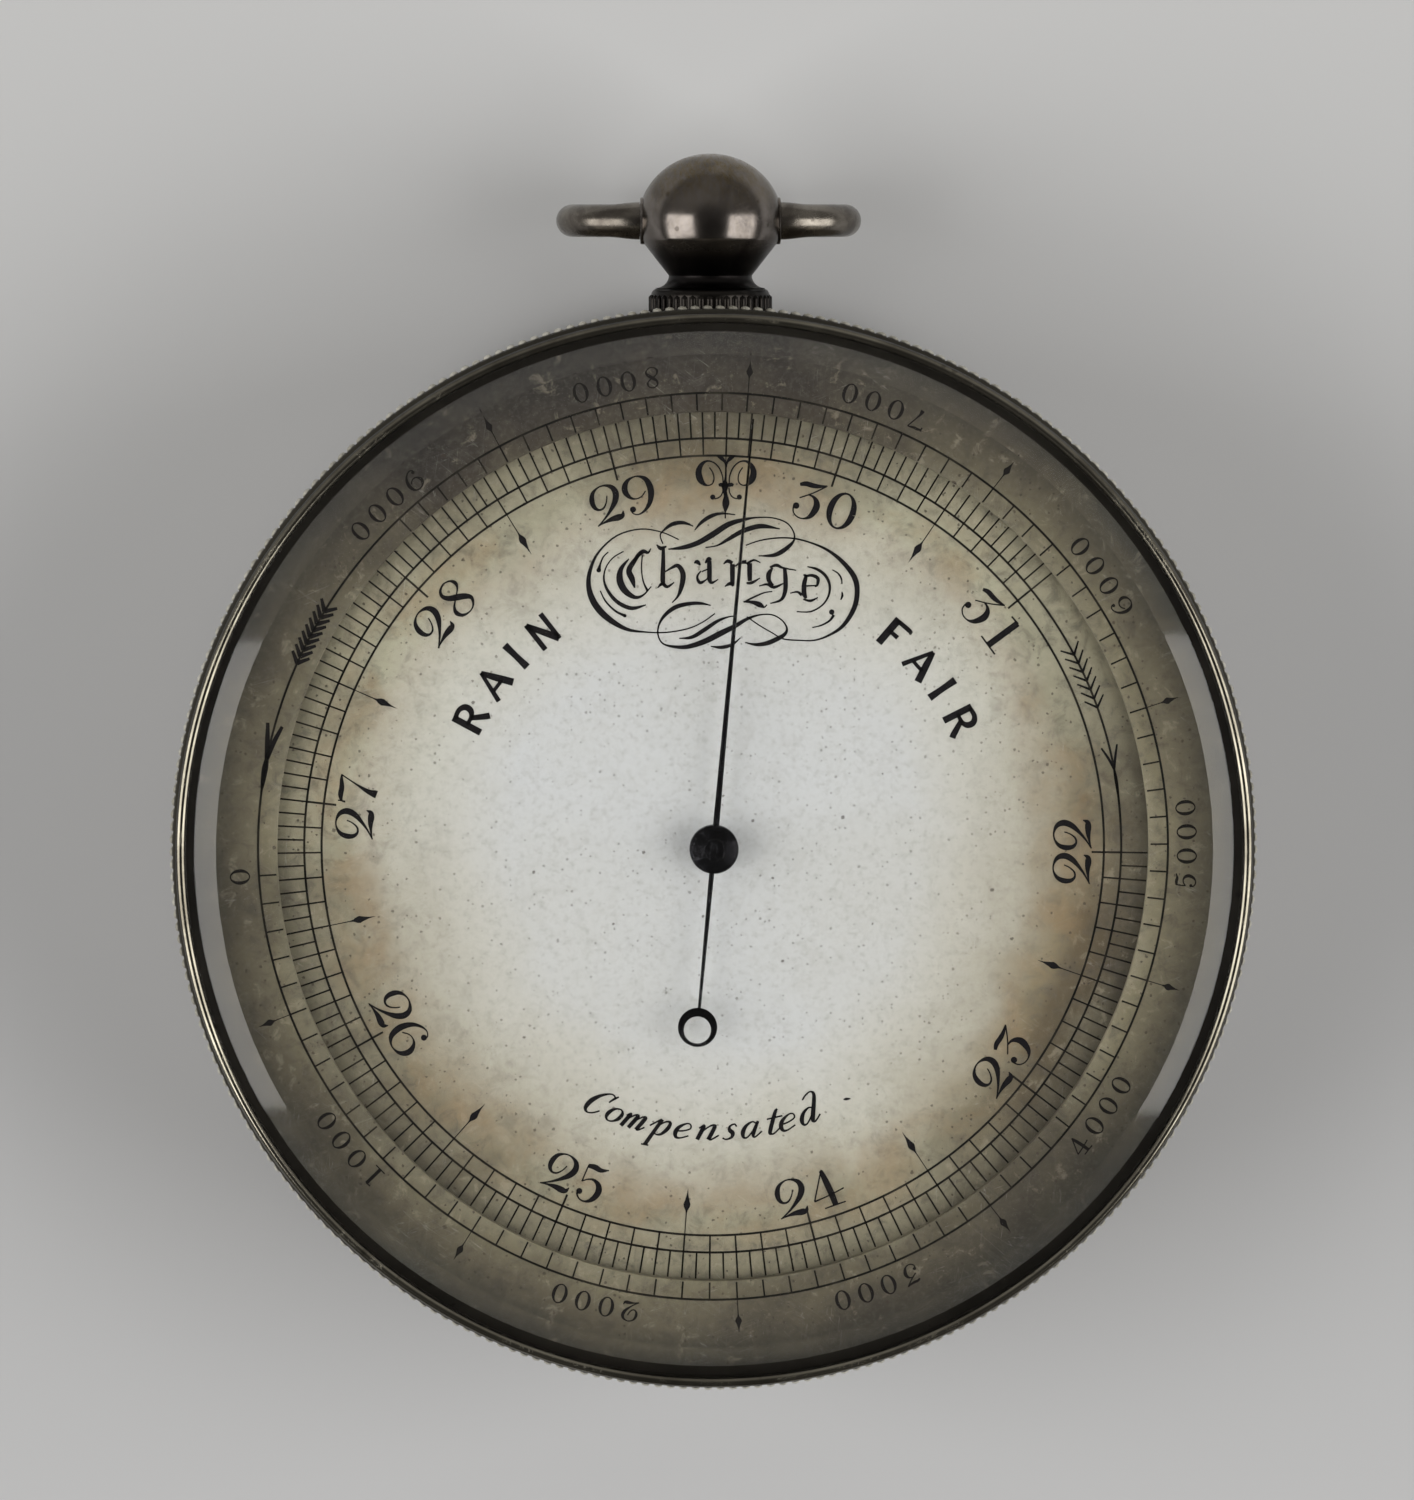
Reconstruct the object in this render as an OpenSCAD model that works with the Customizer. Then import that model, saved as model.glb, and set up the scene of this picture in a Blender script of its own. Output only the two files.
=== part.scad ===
// Pocket barometer: a round aneroid instrument in a metal case with a pendant and bow.
// The case lies on its back, the dial faces +Z and the pendant points along +Y.
// The origin is the middle of the back face. All lengths are in millimetres.

/* [Case] */
// Outer radius of the case body
case_r = 31.5; // [30:0.5:36]
// Thickness of the case wall
case_wall = 1.1; // [0.8:0.1:1.4]
// Thickness of the back
back_t = 1; // [0.8:0.1:1.4]
// Height of the shoulder that the bezel sits over
case_h = 15.2; // [15:0.1:18]
// Radius of the rounded edge round the back
back_edge_r = 3.2; // [1.5:0.1:3.8]
// Step from the wall in to the spigot that carries the bezel
shoulder_w = 0.5; // [0.3:0.05:0.7]
// Height of the spigot above the shoulder
spigot_h = 2.1; // [1.6:0.1:2.6]
// Depth of the snap bead round the spigot
snap_d = 0.2; // [0.1:0.05:0.3]
// Radius of the bosses inside the back
boss_r = 2.6; // [2:0.1:3.2]
// Height of the bosses inside the back
boss_h = 0.8; // [0.6:0.1:1.2]

/* [Bezel] */
// Wall of the bezel between its bore and the roots of the milling
bezel_wall = 0.73; // [0.6:0.01:0.9]
// Depth of the milled teeth
mill_d = 0.22; // [0.1:0.02:0.3]
// Number of milled teeth round the edge
mill_n = 270; // [180:6:300]
// Height of the plain skirt under the milled band
skirt_h = 2.3; // [1:0.1:3]
// Step from the roots of the milling in to the plain skirt
skirt_step = 0.1; // [0.05:0.01:0.2]
// Radius of the half-round bead round the glass
bead_r = 0.52; // [0.4:0.02:0.6]
// Overlap of the lip on the glass
lip_w = 0.35; // [0.25:0.05:0.5]
// Height of the bead's centre above the edge of the glass
bead_rise = 1; // [0.8:0.05:1.4]

/* [Glass] */
// Thickness of the glass at its middle
glass_t = 1.8; // [1.5:0.1:2.2]
// Thickness of the glass at its edge
glass_edge_t = 0.6; // [0.4:0.1:0.8]
// Width of the polished bevel
bevel_w = 1.85; // [1.2:0.05:2.5]
// Height of the ring that spaces the glass from the altitude ring
glass_ring_h = 2.2; // [1.8:0.1:3]
// Wall of the ring that spaces the glass
glass_ring_w = 0.75; // [0.5:0.05:1]

/* [Dial and altitude ring] */
// Thickness of the dial plate
dial_t = 0.8; // [0.6:0.1:1]
// Gap between the dial's edge and the case wall
dial_gap = 0.4; // [0.2:0.05:0.6]
// Gap between the dial and the altitude ring over it
dial_ring_gap = 0.3; // [0.2:0.05:0.4]
// Gap between the spigot and the altitude ring over it
ring_gap = 0.2; // [0.15:0.05:0.3]
// Width of the altitude ring
alt_w = 5; // [4:0.05:6]
// Thickness of the altitude ring
alt_t = 0.6; // [0.4:0.1:0.8]

/* [Pendant] */
// Height of the pendant's axis over the back
pend_z = 11.2; // [10.8:0.1:11.2]
// Outer radius of the knurled collar
collar_r = 3.7; // [3.3:0.05:3.8]
// Reach of the collar beyond the case wall
collar_len = 1.4; // [1.2:0.1:2]
// Width of the rounded edge of the collar
collar_edge = 0.45; // [0.3:0.05:0.6]
// Depth of the collar's knurling
knurl_d = 0.16; // [0.08:0.02:0.2]
// Number of teeth round the collar
knurl_n = 43; // [30:1:50]
// Radius of the foot of the neck
foot_r = 3.3; // [2.9:0.05:3.3]
// Radius of the neck at its narrowest
neck_r = 2.48; // [2.1:0.02:2.6]
// Length of the hollow flare below the neck
flare_len = 0.75; // [0.5:0.05:1]
// Length from the neck to the centre of the ball
neck_len = 3.25; // [3:0.05:3.6]
// Radius of the ball
ball_r = 4; // [3.7:0.05:4.2]
// Height over the neck at which its cone meets the ball
cone_len = 2.1; // [1.7:0.1:2.3]
// Radius of the bosses in the ball's sides
side_boss_r = 1.4; // [1.2:0.05:1.6]
// Distance of the bosses' faces beyond the ball
side_boss_out = 0.12; // [0.05:0.01:0.3]
// Radius of the threaded stud under the neck
stud_r = 1.6; // [1.3:0.1:1.9]
// Distance across the flats of the nut inside the case
nut_af = 5; // [4.6:0.1:5.6]
// Thickness of the nut
nut_t = 1.5; // [1.2:0.1:2]

/* [Bow] */
// Radius of the bow's wire
wire_r = 0.93; // [0.8:0.01:1]
// Half the width of the bow, to the middle of its wire
bow_half_w = 8.2; // [7.9:0.1:9]
// Reach of the bow from its pins, to the middle of its wire
bow_reach = 9.4; // [9:0.1:9.6]
// Radius of the bow's corners, to the middle of its wire
bow_corner_r = 3.7; // [3.2:0.1:3.9]
// Radius of the swelled ends of the bow
bow_end_r = 1.25; // [1.1:0.05:1.4]
// Length over which the ends swell
swell_len = 1.9; // [1.2:0.1:2.4]
// Radius of the pins at the bow's ends
bow_pin_r = 0.8; // [0.6:0.05:0.9]
// Depth that the pins reach into the ball
bow_pin_in = 1.8; // [1.2:0.1:2.2]
// Gap between the ends of the bow and the ball's bosses
bow_gap = 0.1; // [0.05:0.01:0.2]

/* [Movement plate] */
// Gap between the movement plate's edge and the case wall
plate_gap = 1.8; // [1.8:0.1:2.8]
// Thickness of the movement plate
plate_t = 1.4; // [1.2:0.1:1.6]
// Distance of the plate screws from the plate's edge
plate_screw_in = 3.6; // [3.2:0.1:4.6]
// Distance of the dial pillars from the plate's edge
dial_pillar_in = 2.6; // [2.4:0.1:3.6]
// Radius of the dial pillars
dial_pillar_r = 1.5; // [1.2:0.1:1.8]
// Radius of the feet under the dial
dial_foot_r = 0.6; // [0.5:0.05:0.7]
// Length of the feet under the dial
dial_foot_len = 2.5; // [1.5:0.1:3]
// Radius of the threaded part of the screws
screw_r = 0.7; // [0.6:0.05:0.8]
// Radius of the screw heads
head_r = 1.25; // [1.1:0.05:1.4]
// Height of the screw heads
head_h = 0.7; // [0.5:0.05:0.9]

/* [Capsule] */
// Radius of the vacuum capsule
cap_r = 15.5; // [14:0.1:16]
// Thickness of the vacuum capsule
cap_t = 3.6; // [3:0.1:3.8]
// Gap between the plate and the capsule
cap_gap = 0.4; // [0.3:0.05:0.6]
// Thickness of the capsule's skins
skin_t = 0.25; // [0.2:0.01:0.3]
// Width of the soldered rim
rim_w = 0.9; // [0.7:0.1:1.2]
// Height of the ripples in the skins
ripple_h = 0.3; // [0.15:0.01:0.35]
// Number of ripples in each skin
ripple_n = 5; // [3:1:6]
// Radius of the flat middle of the skins
cap_mid_r = 3; // [2.6:0.1:3.6]
// Radius of the post over the capsule
post_r = 1.7; // [1.4:0.1:1.9]
// Radius of the stud under the capsule
cap_stud_r = 1.5; // [1.2:0.1:1.8]

/* [Main spring and lever] */
// Thickness of the main spring
spring_t = 0.7; // [0.5:0.05:0.8]
// Width of the main spring at its bend
spring_w = 12; // [10:0.2:12.6]
// Width of the main spring at its free end
spring_end_w = 7; // [6.6:0.1:8]
// Gap between the capsule and the main spring over it
spring_gap = 1.3; // [1.1:0.1:1.6]
// Distance of the bend's centre from the middle
bend_y = 23.5; // [22.5:0.1:23.8]
// Length of the spring past the middle
spring_tip = 4.5; // [4.2:0.1:5]
// Radius of the hole round the post
post_hole_r = 2.1; // [2:0.05:2.2]
// Radius of the knife edge pin through the post
knife_r = 0.45; // [0.35:0.05:0.55]
// Length of the knife edge pin
knife_len = 6; // [5:0.1:7]
// Thickness of the bridge under the spring
bridge_t = 1; // [0.8:0.1:1.2]
// Half the width of the bridge between its ears
bridge_half_w = 7; // [6.6:0.1:7.4]
// Thickness of the bridge's ears
ear_t = 1; // [0.8:0.1:1.2]
// Width of the lever
lever_w = 2; // [1.8:0.1:2.2]
// Thickness of the lever's brass strip
lever_t = 0.5; // [0.4:0.05:0.6]
// Thickness of the lever's steel strip
steel_t = 0.3; // [0.2:0.05:0.4]
// Distance of the lever from the middle
lever_x = 4; // [3.8:0.1:4.4]

/* [Rocking arbor] */
// Distance of the rocking arbor from the middle
rock_y = 19; // [18.6:0.1:19.6]
// Height of the rocking arbor over the plate
rock_h = 2.8; // [2.4:0.1:3]
// Radius of the rocking arbor
rock_r = 0.5; // [0.4:0.05:0.6]
// Length of the arm that the link lifts
link_arm_len = 2.6; // [2.3:0.05:2.8]
// Lean of the rocking arbor at rest, in degrees
rock_lean = 11; // [8:0.5:14]
// Radius of the small pivot pins
pivot_r = 0.3; // [0.25:0.01:0.35]
// Thickness of the cocks that hold the arbor
cock_t = 1.6; // [1.4:0.1:1.8]
// Gap between the end of the link and the pin that it lifts
open_gap = 0.2; // [0.15:0.01:0.25]

/* [Hand and its arbor] */
// Radius at which the chain pulls on the pulley
pulley_r = 0.7; // [0.6:0.02:0.8]
// Radius of the hand's arbor
arbor_r = 0.4; // [0.35:0.01:0.45]
// Height of the arbor bridge's top below the dial
arbor_bridge_drop = 1.5; // [1.3:0.1:1.7]
// Thickness of the arbor bridge
arbor_bridge_t = 0.9; // [0.8:0.05:1]
// Width of the arbor bridge
arbor_bridge_w = 6.4; // [6:0.1:7]
// Distance of the arbor bridge's pillars from the middle
bridge_pillar_x = 17.9; // [17.8:0.1:19]
// Radius of the arbor bridge's pillars
bridge_pillar_r = 1.6; // [1.4:0.1:1.8]
// Number of turns in the hairspring
hair_n = 4; // [3:1:5]
// Outer radius of the hairspring
hair_r = 3.4; // [3:0.1:3.6]
// Height of the hand over the dial
hand_lift = 1.3; // [1.1:0.05:1.6]
// Length of the hand from the arbor to its tip
hand_len = 26.4; // [24:0.1:28]
// Thickness of the hand
hand_t = 0.25; // [0.15:0.01:0.35]
// Radius of the hand's hub
hub_r = 1.45; // [1.2:0.05:1.7]
// Height of the hand's hub
hub_h = 1; // [0.8:0.05:1.1]
// Distance from the arbor to the ring in the tail
tail_len = 10.5; // [9:0.1:12]
// Outer radius of the ring in the tail
tail_ring_r = 1.19; // [1:0.01:1.4]
// Radius of the hole in the ring
tail_hole_r = 0.83; // [0.6:0.01:0.85]
// Offset of the hole, away from the hub
tail_hole_out = 0.24; // [0.1:0.01:0.25]
// Angle of the hand from the pendant, minus being clockwise, in degrees
hand_rest = -5.2; // [-50:0.1:270]

/* [Adjusting screw] */
// Distance of the adjusting screw from the plate's edge
adj_in = 7.1; // [6.6:0.1:7.6]
// Radius of the adjusting screw's head
adj_head_r = 1.5; // [1.3:0.1:1.7]
// Height of the adjusting screw's head
adj_head_h = 0.9; // [0.7:0.1:1]
// Radius of the adjusting screw's thread
adj_r = 1; // [0.8:0.05:1.1]
// Depth of the adjusting screw's head below the back
adj_sink = 0.25; // [0.2:0.05:0.4]

/* [Fits] */
// Running clearance between pieces that turn on each other
run_fit = 0.05; // [0.02:0.01:0.08]
// Clearance round pieces that are pushed into place
push_fit = 0.02; // [0.01:0.01:0.05]

/* [Hidden] */
$fn = 48;
round_fn = 144;
eps = 0.01;

// Radii of the case, bezel and glass
case_in = case_r - case_wall;
spigot_r = case_r - shoulder_w;
bore_r = spigot_r + run_fit;
mill_root_r = bore_r + bezel_wall;
mill_tip_r = mill_root_r + mill_d;
skirt_r = mill_root_r - skirt_step;
sight_r = bore_r - lip_w;
bead_c = sight_r + bead_r;
glass_flat_r = bore_r - bevel_w;
alt_in_r = bore_r - alt_w;
plate_r = case_in - plate_gap;
plate_screw_pcr = plate_r - plate_screw_in;
dial_pillar_pcr = plate_r - dial_pillar_in;
adj_y = plate_r - adj_in;

// Heights of the case, bezel and glass
spigot_top = case_h + spigot_h;
alt_z = spigot_top + ring_gap;
dial_top = alt_z - dial_ring_gap;
dial_z = dial_top - dial_t;
glass_ring_z = alt_z + alt_t;
glass_z = glass_ring_z + glass_ring_h;
glass_edge_z = glass_z + glass_edge_t;
glass_top = glass_z + glass_t;
bevel_slope = (glass_t - glass_edge_t) / bevel_w;
bezel_z = case_h + 2 * run_fit;
mill_z = bezel_z + skirt_h;
bead_z = glass_edge_z + bead_rise;
snap_z = case_h + spigot_h / 2;
snap_half = 1.5 * snap_d;

// Pendant, measured along +Y
collar_y = case_r + collar_len;
neck_y = collar_y + flare_len;
ball_y = neck_y + neck_len;
cone_y = neck_y + cone_len;
cone_r = sqrt(pow(ball_r, 2) - pow(ball_y - cone_y, 2));
boss_x = ball_r + side_boss_out;
stud_over = 0.4;
stud_y = case_in - nut_t - stud_over;

// Bow: two corner arcs and one wide arc that meets them smoothly
bow_end_x = boss_x + bow_gap;
corner_x = max(bow_end_x + 0.1, bow_half_w - bow_corner_r);
corner_r = bow_half_w - corner_x;
bow_drop = bow_reach - 2 * corner_r;
wide_k = (pow(corner_x, 2) + pow(bow_drop, 2)) / (2 * bow_drop);
wide_r = wide_k + corner_r;
wide_a = asin(corner_x / wide_k);

// Heights of the movement
plate_z = back_t + boss_h;
plate_top = plate_z + plate_t;
cap_z = plate_top + cap_gap;
cap_mid_z = cap_z + cap_t / 2;
cap_top = cap_z + cap_t;
spring_z = cap_top + spring_gap;
spring_top = spring_z + spring_t;
knife_z = spring_top + knife_r;
post_over = 0.3;
post_top = knife_z + knife_r + post_over;
bridge_z = plate_top;
limb_z = bridge_z + bridge_t;
bend_r = (spring_z - limb_z) / 2;
bend_z = limb_z + spring_t / 2 + bend_r;
lever_z = spring_top;
lever_pin_z = lever_z + lever_t / 2;
ear_rise = 1.4;
ear_z = bridge_z + ear_rise;
ear_w = 2.4;
ear_gap = 0.9;
ear_y = -(cap_r + ear_gap + ear_w / 2);
limb_y = ear_y + ear_w / 4;
lever_eye_r = 0.8;
cock_gap = 0.1;
bridge_cock_w = 3;
bridge_cock_over = 1.2;
bridge_cock_x = bridge_half_w + ear_t + cock_gap;
pivot_head_r = 0.8;
pivot_head_h = 0.6;
pivot_tip_out = 0.2;
spring_screw_x = 3.6;
spring_screw_in = 2.4;

// Arbor bridge, pulley and hairspring
arbor_bridge_top = dial_z - arbor_bridge_drop;
arbor_bridge_z = arbor_bridge_top - arbor_bridge_t;
pulley_h = 0.8;
pulley_gap = 0.35;
pulley_z = arbor_bridge_z - pulley_gap - pulley_h;
chain_z = pulley_z + pulley_h / 2;
lower_cock_t = 0.6;
lower_cock_gap = 0.4;
lower_cock_z = pulley_z - lower_cock_gap - lower_cock_t;
lower_cock_x = -6.6;
lower_cock_w = 2.2;
lower_foot_r = 1.5;
lower_thread_in = 1.4;
pillar_thread_in = 2;
hair_h = 0.4;
hair_gap = 0.4;
hair_z = arbor_bridge_top + hair_gap;
hair_t = 0.12;
collet_r = 1.1;
hair_stud_r = 0.55;
hair_stud_x = hair_r + hair_t + hair_stud_r;
hair_stud_z = arbor_bridge_z + 0.2;
hand_z = dial_top + hand_lift;

// Rocking arbor and its arms
rock_z = plate_top + rock_h;
chain_arm_len = (chain_z - rock_z) / cos(rock_lean);
chain_x = -pulley_r;
chain_y = rock_y + chain_arm_len * sin(rock_lean);
link_t = 0.5;
link_gap = 0.2;
link_x = lever_x + lever_w / 2 + link_gap + link_t / 2;
arm_t = 0.5;
arm_gap = 0.15;
arm_end_r = 0.45;
chain_gap = 0.05;
link_y = rock_y + link_arm_len * cos(rock_lean);
link_low_z = rock_z - link_arm_len * sin(rock_lean);
link_arm_x = link_x + link_t / 2 + arm_gap;
cock_space = 0.2;
cock_left_x = -7.4;
cock_right_x = link_arm_x + arm_t + cock_space + cock_t / 2;
cock_w = 4;
cock_screw_y = rock_y - 1.2;

// Places of the screws and pillars
plate_screw_at = [for (a = [60, 180, 300]) plate_screw_pcr * [cos(a), sin(a)]];
dial_pillar_at = [for (a = [0, 120, 240]) dial_pillar_pcr * [cos(a), sin(a)]];
bridge_pillar_at = [[-bridge_pillar_x, 0], [bridge_pillar_x, 0]];
spring_screw_at = [for (x = [-spring_screw_x, spring_screw_x]) [x, ear_y - spring_screw_in]];
lever_screw_at = [for (x = [-1.6, 1.9]) [x, spring_tip - 1]];
rocker_screw_at = [[cock_left_x, cock_screw_y], [cock_right_x, cock_screw_y]];
rocker_screw_r = 0.35;
rocker_screw_in = 1.5;
plate_skin = 0.2;

// Points along an arc, from angle a0 to a1 in n steps
function arc(c, r, a0, a1, n) =
    [for (i = [0:n]) c + r * [cos(a0 + (a1 - a0) * i / n), sin(a0 + (a1 - a0) * i / n)]];
// Corners of a ring of teeth with sharp tips and roots
function teeth(r_tip, r_root, n) =
    [for (i = [0:2 * n - 1]) (i % 2 == 0 ? r_tip : r_root) * [cos(180 * i / n), sin(180 * i / n)]];
function reversed(p) = [for (i = [len(p) - 1:-1:0]) p[i]];
function smooth(t) = let (u = min(1, max(0, t))) u * u * (3 - 2 * u);

module lathe(points) rotate_extrude($fn = round_fn) polygon(points);
module turned(points) rotate_extrude() polygon(points);
module ring(r_in, r_out, z, h) lathe([[r_in, z], [r_out, z], [r_out, z + h], [r_in, z + h]]);
module rod(r, z, h) translate([0, 0, z]) cylinder(r = r, h = h);
module at(places) for (p = places) translate([p[0], p[1], 0]) children();
// Lays a shape drawn up +Z along the pendant, so that its height becomes +Y
module along_pendant() translate([0, 0, pend_z]) rotate([-90, 0, 0]) children();
// Lays a shape drawn up +Z along +X, with its foot at the given point
module along_x(x, y, z) translate([x, y, z]) rotate([0, 90, 0]) children();
// A cheese head screw whose head stands on z and whose thread reaches down by depth
module screw(r, head, h, z, depth) {
    difference() {
        rod(head, z, h);
        translate([-head - eps, -0.15, z + h * 0.55]) cube([2 * head + 2 * eps, 0.3, h]);
    }
    rod(r, z - depth, depth + eps);
}

// Case

module case_body() {
    outer = concat([[0, 0]], arc([case_r - back_edge_r, back_edge_r], back_edge_r, -90, 0, 16),
        [[case_r, case_h], [spigot_r, case_h], [spigot_r, snap_z - snap_half],
        [spigot_r + snap_d, snap_z], [spigot_r, snap_z + snap_half], [spigot_r, spigot_top]]);
    in_r = max(0.3, back_edge_r - case_wall);
    inner = concat([[case_in, spigot_top]],
        reversed(arc([case_in - in_r, back_t + in_r], in_r, -90, 0, 10)), [[0, back_t]]);
    color([0.42, 0.37, 0.32])
        difference() {
            union() {
                lathe(concat(outer, inner));
                at(plate_screw_at) rod(boss_r, back_t - eps, boss_h + eps);
            }
            at(plate_screw_at) rod(screw_r, back_t / 2, plate_z);
            translate([0, -adj_y, -1]) cylinder(r = adj_head_r + run_fit, h = back_t + 2);
            along_pendant() rod(stud_r + push_fit, case_in - 1, case_wall + 2);
        }
}

module pendant_collar() {
    root = collar_r - knurl_d;
    body_y = case_in + case_wall / 2;
    edge_y = collar_y - collar_edge;
    color([0.22, 0.21, 0.2])
        difference() {
            along_pendant() union() {
                translate([0, 0, body_y]) linear_extrude(edge_y - body_y)
                    polygon(teeth(collar_r, root, knurl_n));
                turned(concat([[0, body_y]], [[root - 0.06, body_y]],
                    arc([root - 0.06 - collar_edge, edge_y], collar_edge, 0, 90, 6), [[0, collar_y]]));
            }
            along_pendant() rod(stud_r + push_fit, 0, 2 * case_r);
            cylinder(r = case_r, h = 2 * case_h, $fn = round_fn);
        }
}

module pendant_ball() {
    flare_r = foot_r - neck_r;
    half_angle = atan2(cone_y - ball_y, cone_r);
    profile = concat([[0, stud_y], [stud_r, stud_y], [stud_r, collar_y], [foot_r, collar_y]],
        [for (i = [1:6]) [foot_r - flare_r * sin(15 * i), collar_y + flare_len * (1 - cos(15 * i))]],
        arc([0, ball_y], ball_r, half_angle, 90, 26));
    color([0.45, 0.4, 0.35])
        difference() {
            union() {
                along_pendant() turned(profile);
                along_x(-boss_x, ball_y, pend_z) cylinder(r = side_boss_r, h = 2 * boss_x);
            }
            for (side = [-1, 1])
                translate([side * (boss_x - bow_pin_in / 2), ball_y, pend_z])
                    rotate([0, 90, 0])
                        cylinder(r = bow_pin_r + run_fit, h = bow_pin_in + 0.3, center = true);
        }
}

module pendant_nut() {
    color("goldenrod")
        intersection() {
            along_pendant() difference() {
                translate([0, 0, case_in - nut_t]) cylinder(r = nut_af / sqrt(3), h = nut_t, $fn = 6);
                rod(stud_r, 0, 2 * case_in);
            }
            cylinder(r = case_in, h = 2 * case_h, $fn = round_fn);
        }
}

// Middle of the bow's wire and its heading, for half the bow, from its pin to its lowest point
function bow_half() = concat(
    [[bow_end_x, 0, 0]],
    [for (i = [0:16]) let (a = (180 - wide_a) * i / 16)
        [corner_x + corner_r * sin(a), corner_r * cos(a) - corner_r, a]],
    [for (i = [1:8]) let (a = 180 - wide_a + wide_a * i / 8)
        [wide_r * sin(a), wide_r * (cos(a) + 1) - bow_reach, a]]);
function mirrored(p) = [for (i = [len(p) - 2:-1:0]) [-p[i][0], p[i][1], 360 - p[i][2]]];
bow_path = concat(bow_half(), mirrored(bow_half()));
function bow_wire_r(p) =
    let (d = norm([abs(p[0]) - bow_end_x, p[1]]), low = p[1] < -corner_r)
    low ? wire_r : bow_end_r + (wire_r - bow_end_r) * smooth(d / swell_len);

module bow() {
    sides = 20;
    rings = len(bow_path);
    points = [for (p = bow_path, k = [0:sides - 1])
        let (r = bow_wire_r(p), across = r * cos(360 * k / sides), a = p[2])
        [p[0] + across * sin(a), r * sin(360 * k / sides), p[1] + across * cos(a)]];
    faces = concat(
        [[for (k = [sides - 1:-1:0]) k]],
        [for (i = [0:rings - 2], k = [0:sides - 1])
            let (n = (k + 1) % sides, lo = i * sides, hi = lo + sides) [lo + k, lo + n, hi + n, hi + k]],
        [[for (k = [0:sides - 1]) (rings - 1) * sides + k]]);
    color([0.3, 0.28, 0.26])
        translate([0, ball_y, pend_z]) {
            polyhedron(points = points, faces = faces, convexity = 4);
            for (side = [-1, 1])
                translate([side * (bow_end_x + 0.3 - (bow_pin_in + 0.3) / 2), 0, 0])
                    rotate([0, 90, 0]) cylinder(r = bow_pin_r, h = bow_pin_in + 0.3, center = true);
        }
}

// Bezel and glass

module bezel() {
    lip_z = glass_edge_z + lip_w * bevel_slope;
    neck_a = -50;
    neck = [bead_c + bead_r * cos(neck_a), bead_z + bead_r * sin(neck_a)];
    groove = snap_d + run_fit / 2;
    profile = concat([[bore_r, bezel_z], [skirt_r, bezel_z], [skirt_r, glass_edge_z - 0.1],
        [neck[0], glass_edge_z - 0.1]], arc([bead_c, bead_z], bead_r, neck_a, 180, 20),
        [[sight_r, lip_z], [bore_r, glass_edge_z], [bore_r, snap_z + snap_half + run_fit],
        [bore_r + groove, snap_z], [bore_r, snap_z - snap_half - run_fit]]);
    color([0.35, 0.33, 0.31])
        union() {
            lathe(profile);
            translate([0, 0, mill_z]) linear_extrude(glass_edge_z - mill_z) difference() {
                polygon(teeth(mill_tip_r, mill_root_r, mill_n));
                circle(r = (skirt_r + bore_r) / 2, $fn = round_fn);
            }
        }
}

module crystal() {
    color([0.8, 0.9, 0.95, 0.35])
        lathe([[0, glass_z], [bore_r, glass_z], [bore_r, glass_edge_z], [glass_flat_r, glass_top],
            [0, glass_top]]);
}

module glass_ring() {
    color([0.6, 0.58, 0.5]) ring(bore_r - glass_ring_w, bore_r, glass_ring_z, glass_ring_h);
}

module altitude_ring() {
    color([0.78, 0.77, 0.73]) ring(alt_in_r, bore_r, alt_z, alt_t);
}

// Dial

module dial() {
    color([0.82, 0.81, 0.77])
        difference() {
            translate([0, 0, dial_z]) cylinder(r = case_in - dial_gap, h = dial_t, $fn = round_fn);
            rod(arbor_r + 0.4, dial_z - 1, dial_t + 2);
        }
}

module dial_feet() {
    color("goldenrod") at(dial_pillar_at) rod(dial_foot_r, dial_z - dial_foot_len, dial_foot_len);
}

module dial_pillars() {
    color("goldenrod")
        at(dial_pillar_at) difference() {
            union() {
                rod(dial_pillar_r, plate_top, dial_z - plate_top);
                rod(screw_r, plate_z, plate_t + eps);
            }
            rod(dial_foot_r, dial_z - dial_foot_len, dial_foot_len + 1);
        }
}

// Movement plate and capsule

module base_plate() {
    color("darkgoldenrod")
        difference() {
            translate([0, 0, plate_z]) cylinder(r = plate_r, h = plate_t, $fn = round_fn);
            rod(cap_stud_r, plate_z - 1, plate_t + 2);
            at(plate_screw_at) rod(screw_r + push_fit, plate_z - 1, plate_t + 2);
            at(dial_pillar_at) rod(screw_r, plate_z - 1, plate_t + 2);
            at(bridge_pillar_at) rod(screw_r, plate_z - 1, plate_t + 2);
            at(rocker_screw_at) rod(rocker_screw_r, plate_z + plate_skin, plate_t + 2);
            translate([0, -adj_y, 0]) rod(adj_r + run_fit, plate_z - 1, plate_t + 2);
        }
}

module plate_screws() {
    color("steelblue") at(plate_screw_at) screw(screw_r, head_r, head_h, plate_top, plate_t + boss_h);
}

// Height of a skin's middle over the soldered rim, at radius r
function skin_h(r) =
    let (top = cap_t / 2 - skin_t / 2, wall = cap_r - rim_w, flat = wall - 1.2,
        span = flat - cap_mid_r, t = (r - cap_mid_r) / span)
    r >= wall ? skin_t / 2
    : r >= flat ? skin_t / 2 + (top - ripple_h - skin_t / 2) * smooth((wall - r) / 1.2)
    : r <= cap_mid_r ? top
    : top - ripple_h / 2 * (1 - cos(360 * (ripple_n + 0.5) * t));
skin_radii = concat([0, cap_mid_r],
    [for (i = [1:8 * ripple_n]) cap_mid_r + (cap_r - rim_w - 1.2 - cap_mid_r) * i / (8 * ripple_n)],
    [for (i = [1:4]) cap_r - rim_w - 1.2 + 0.3 * i], [cap_r]);

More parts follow.
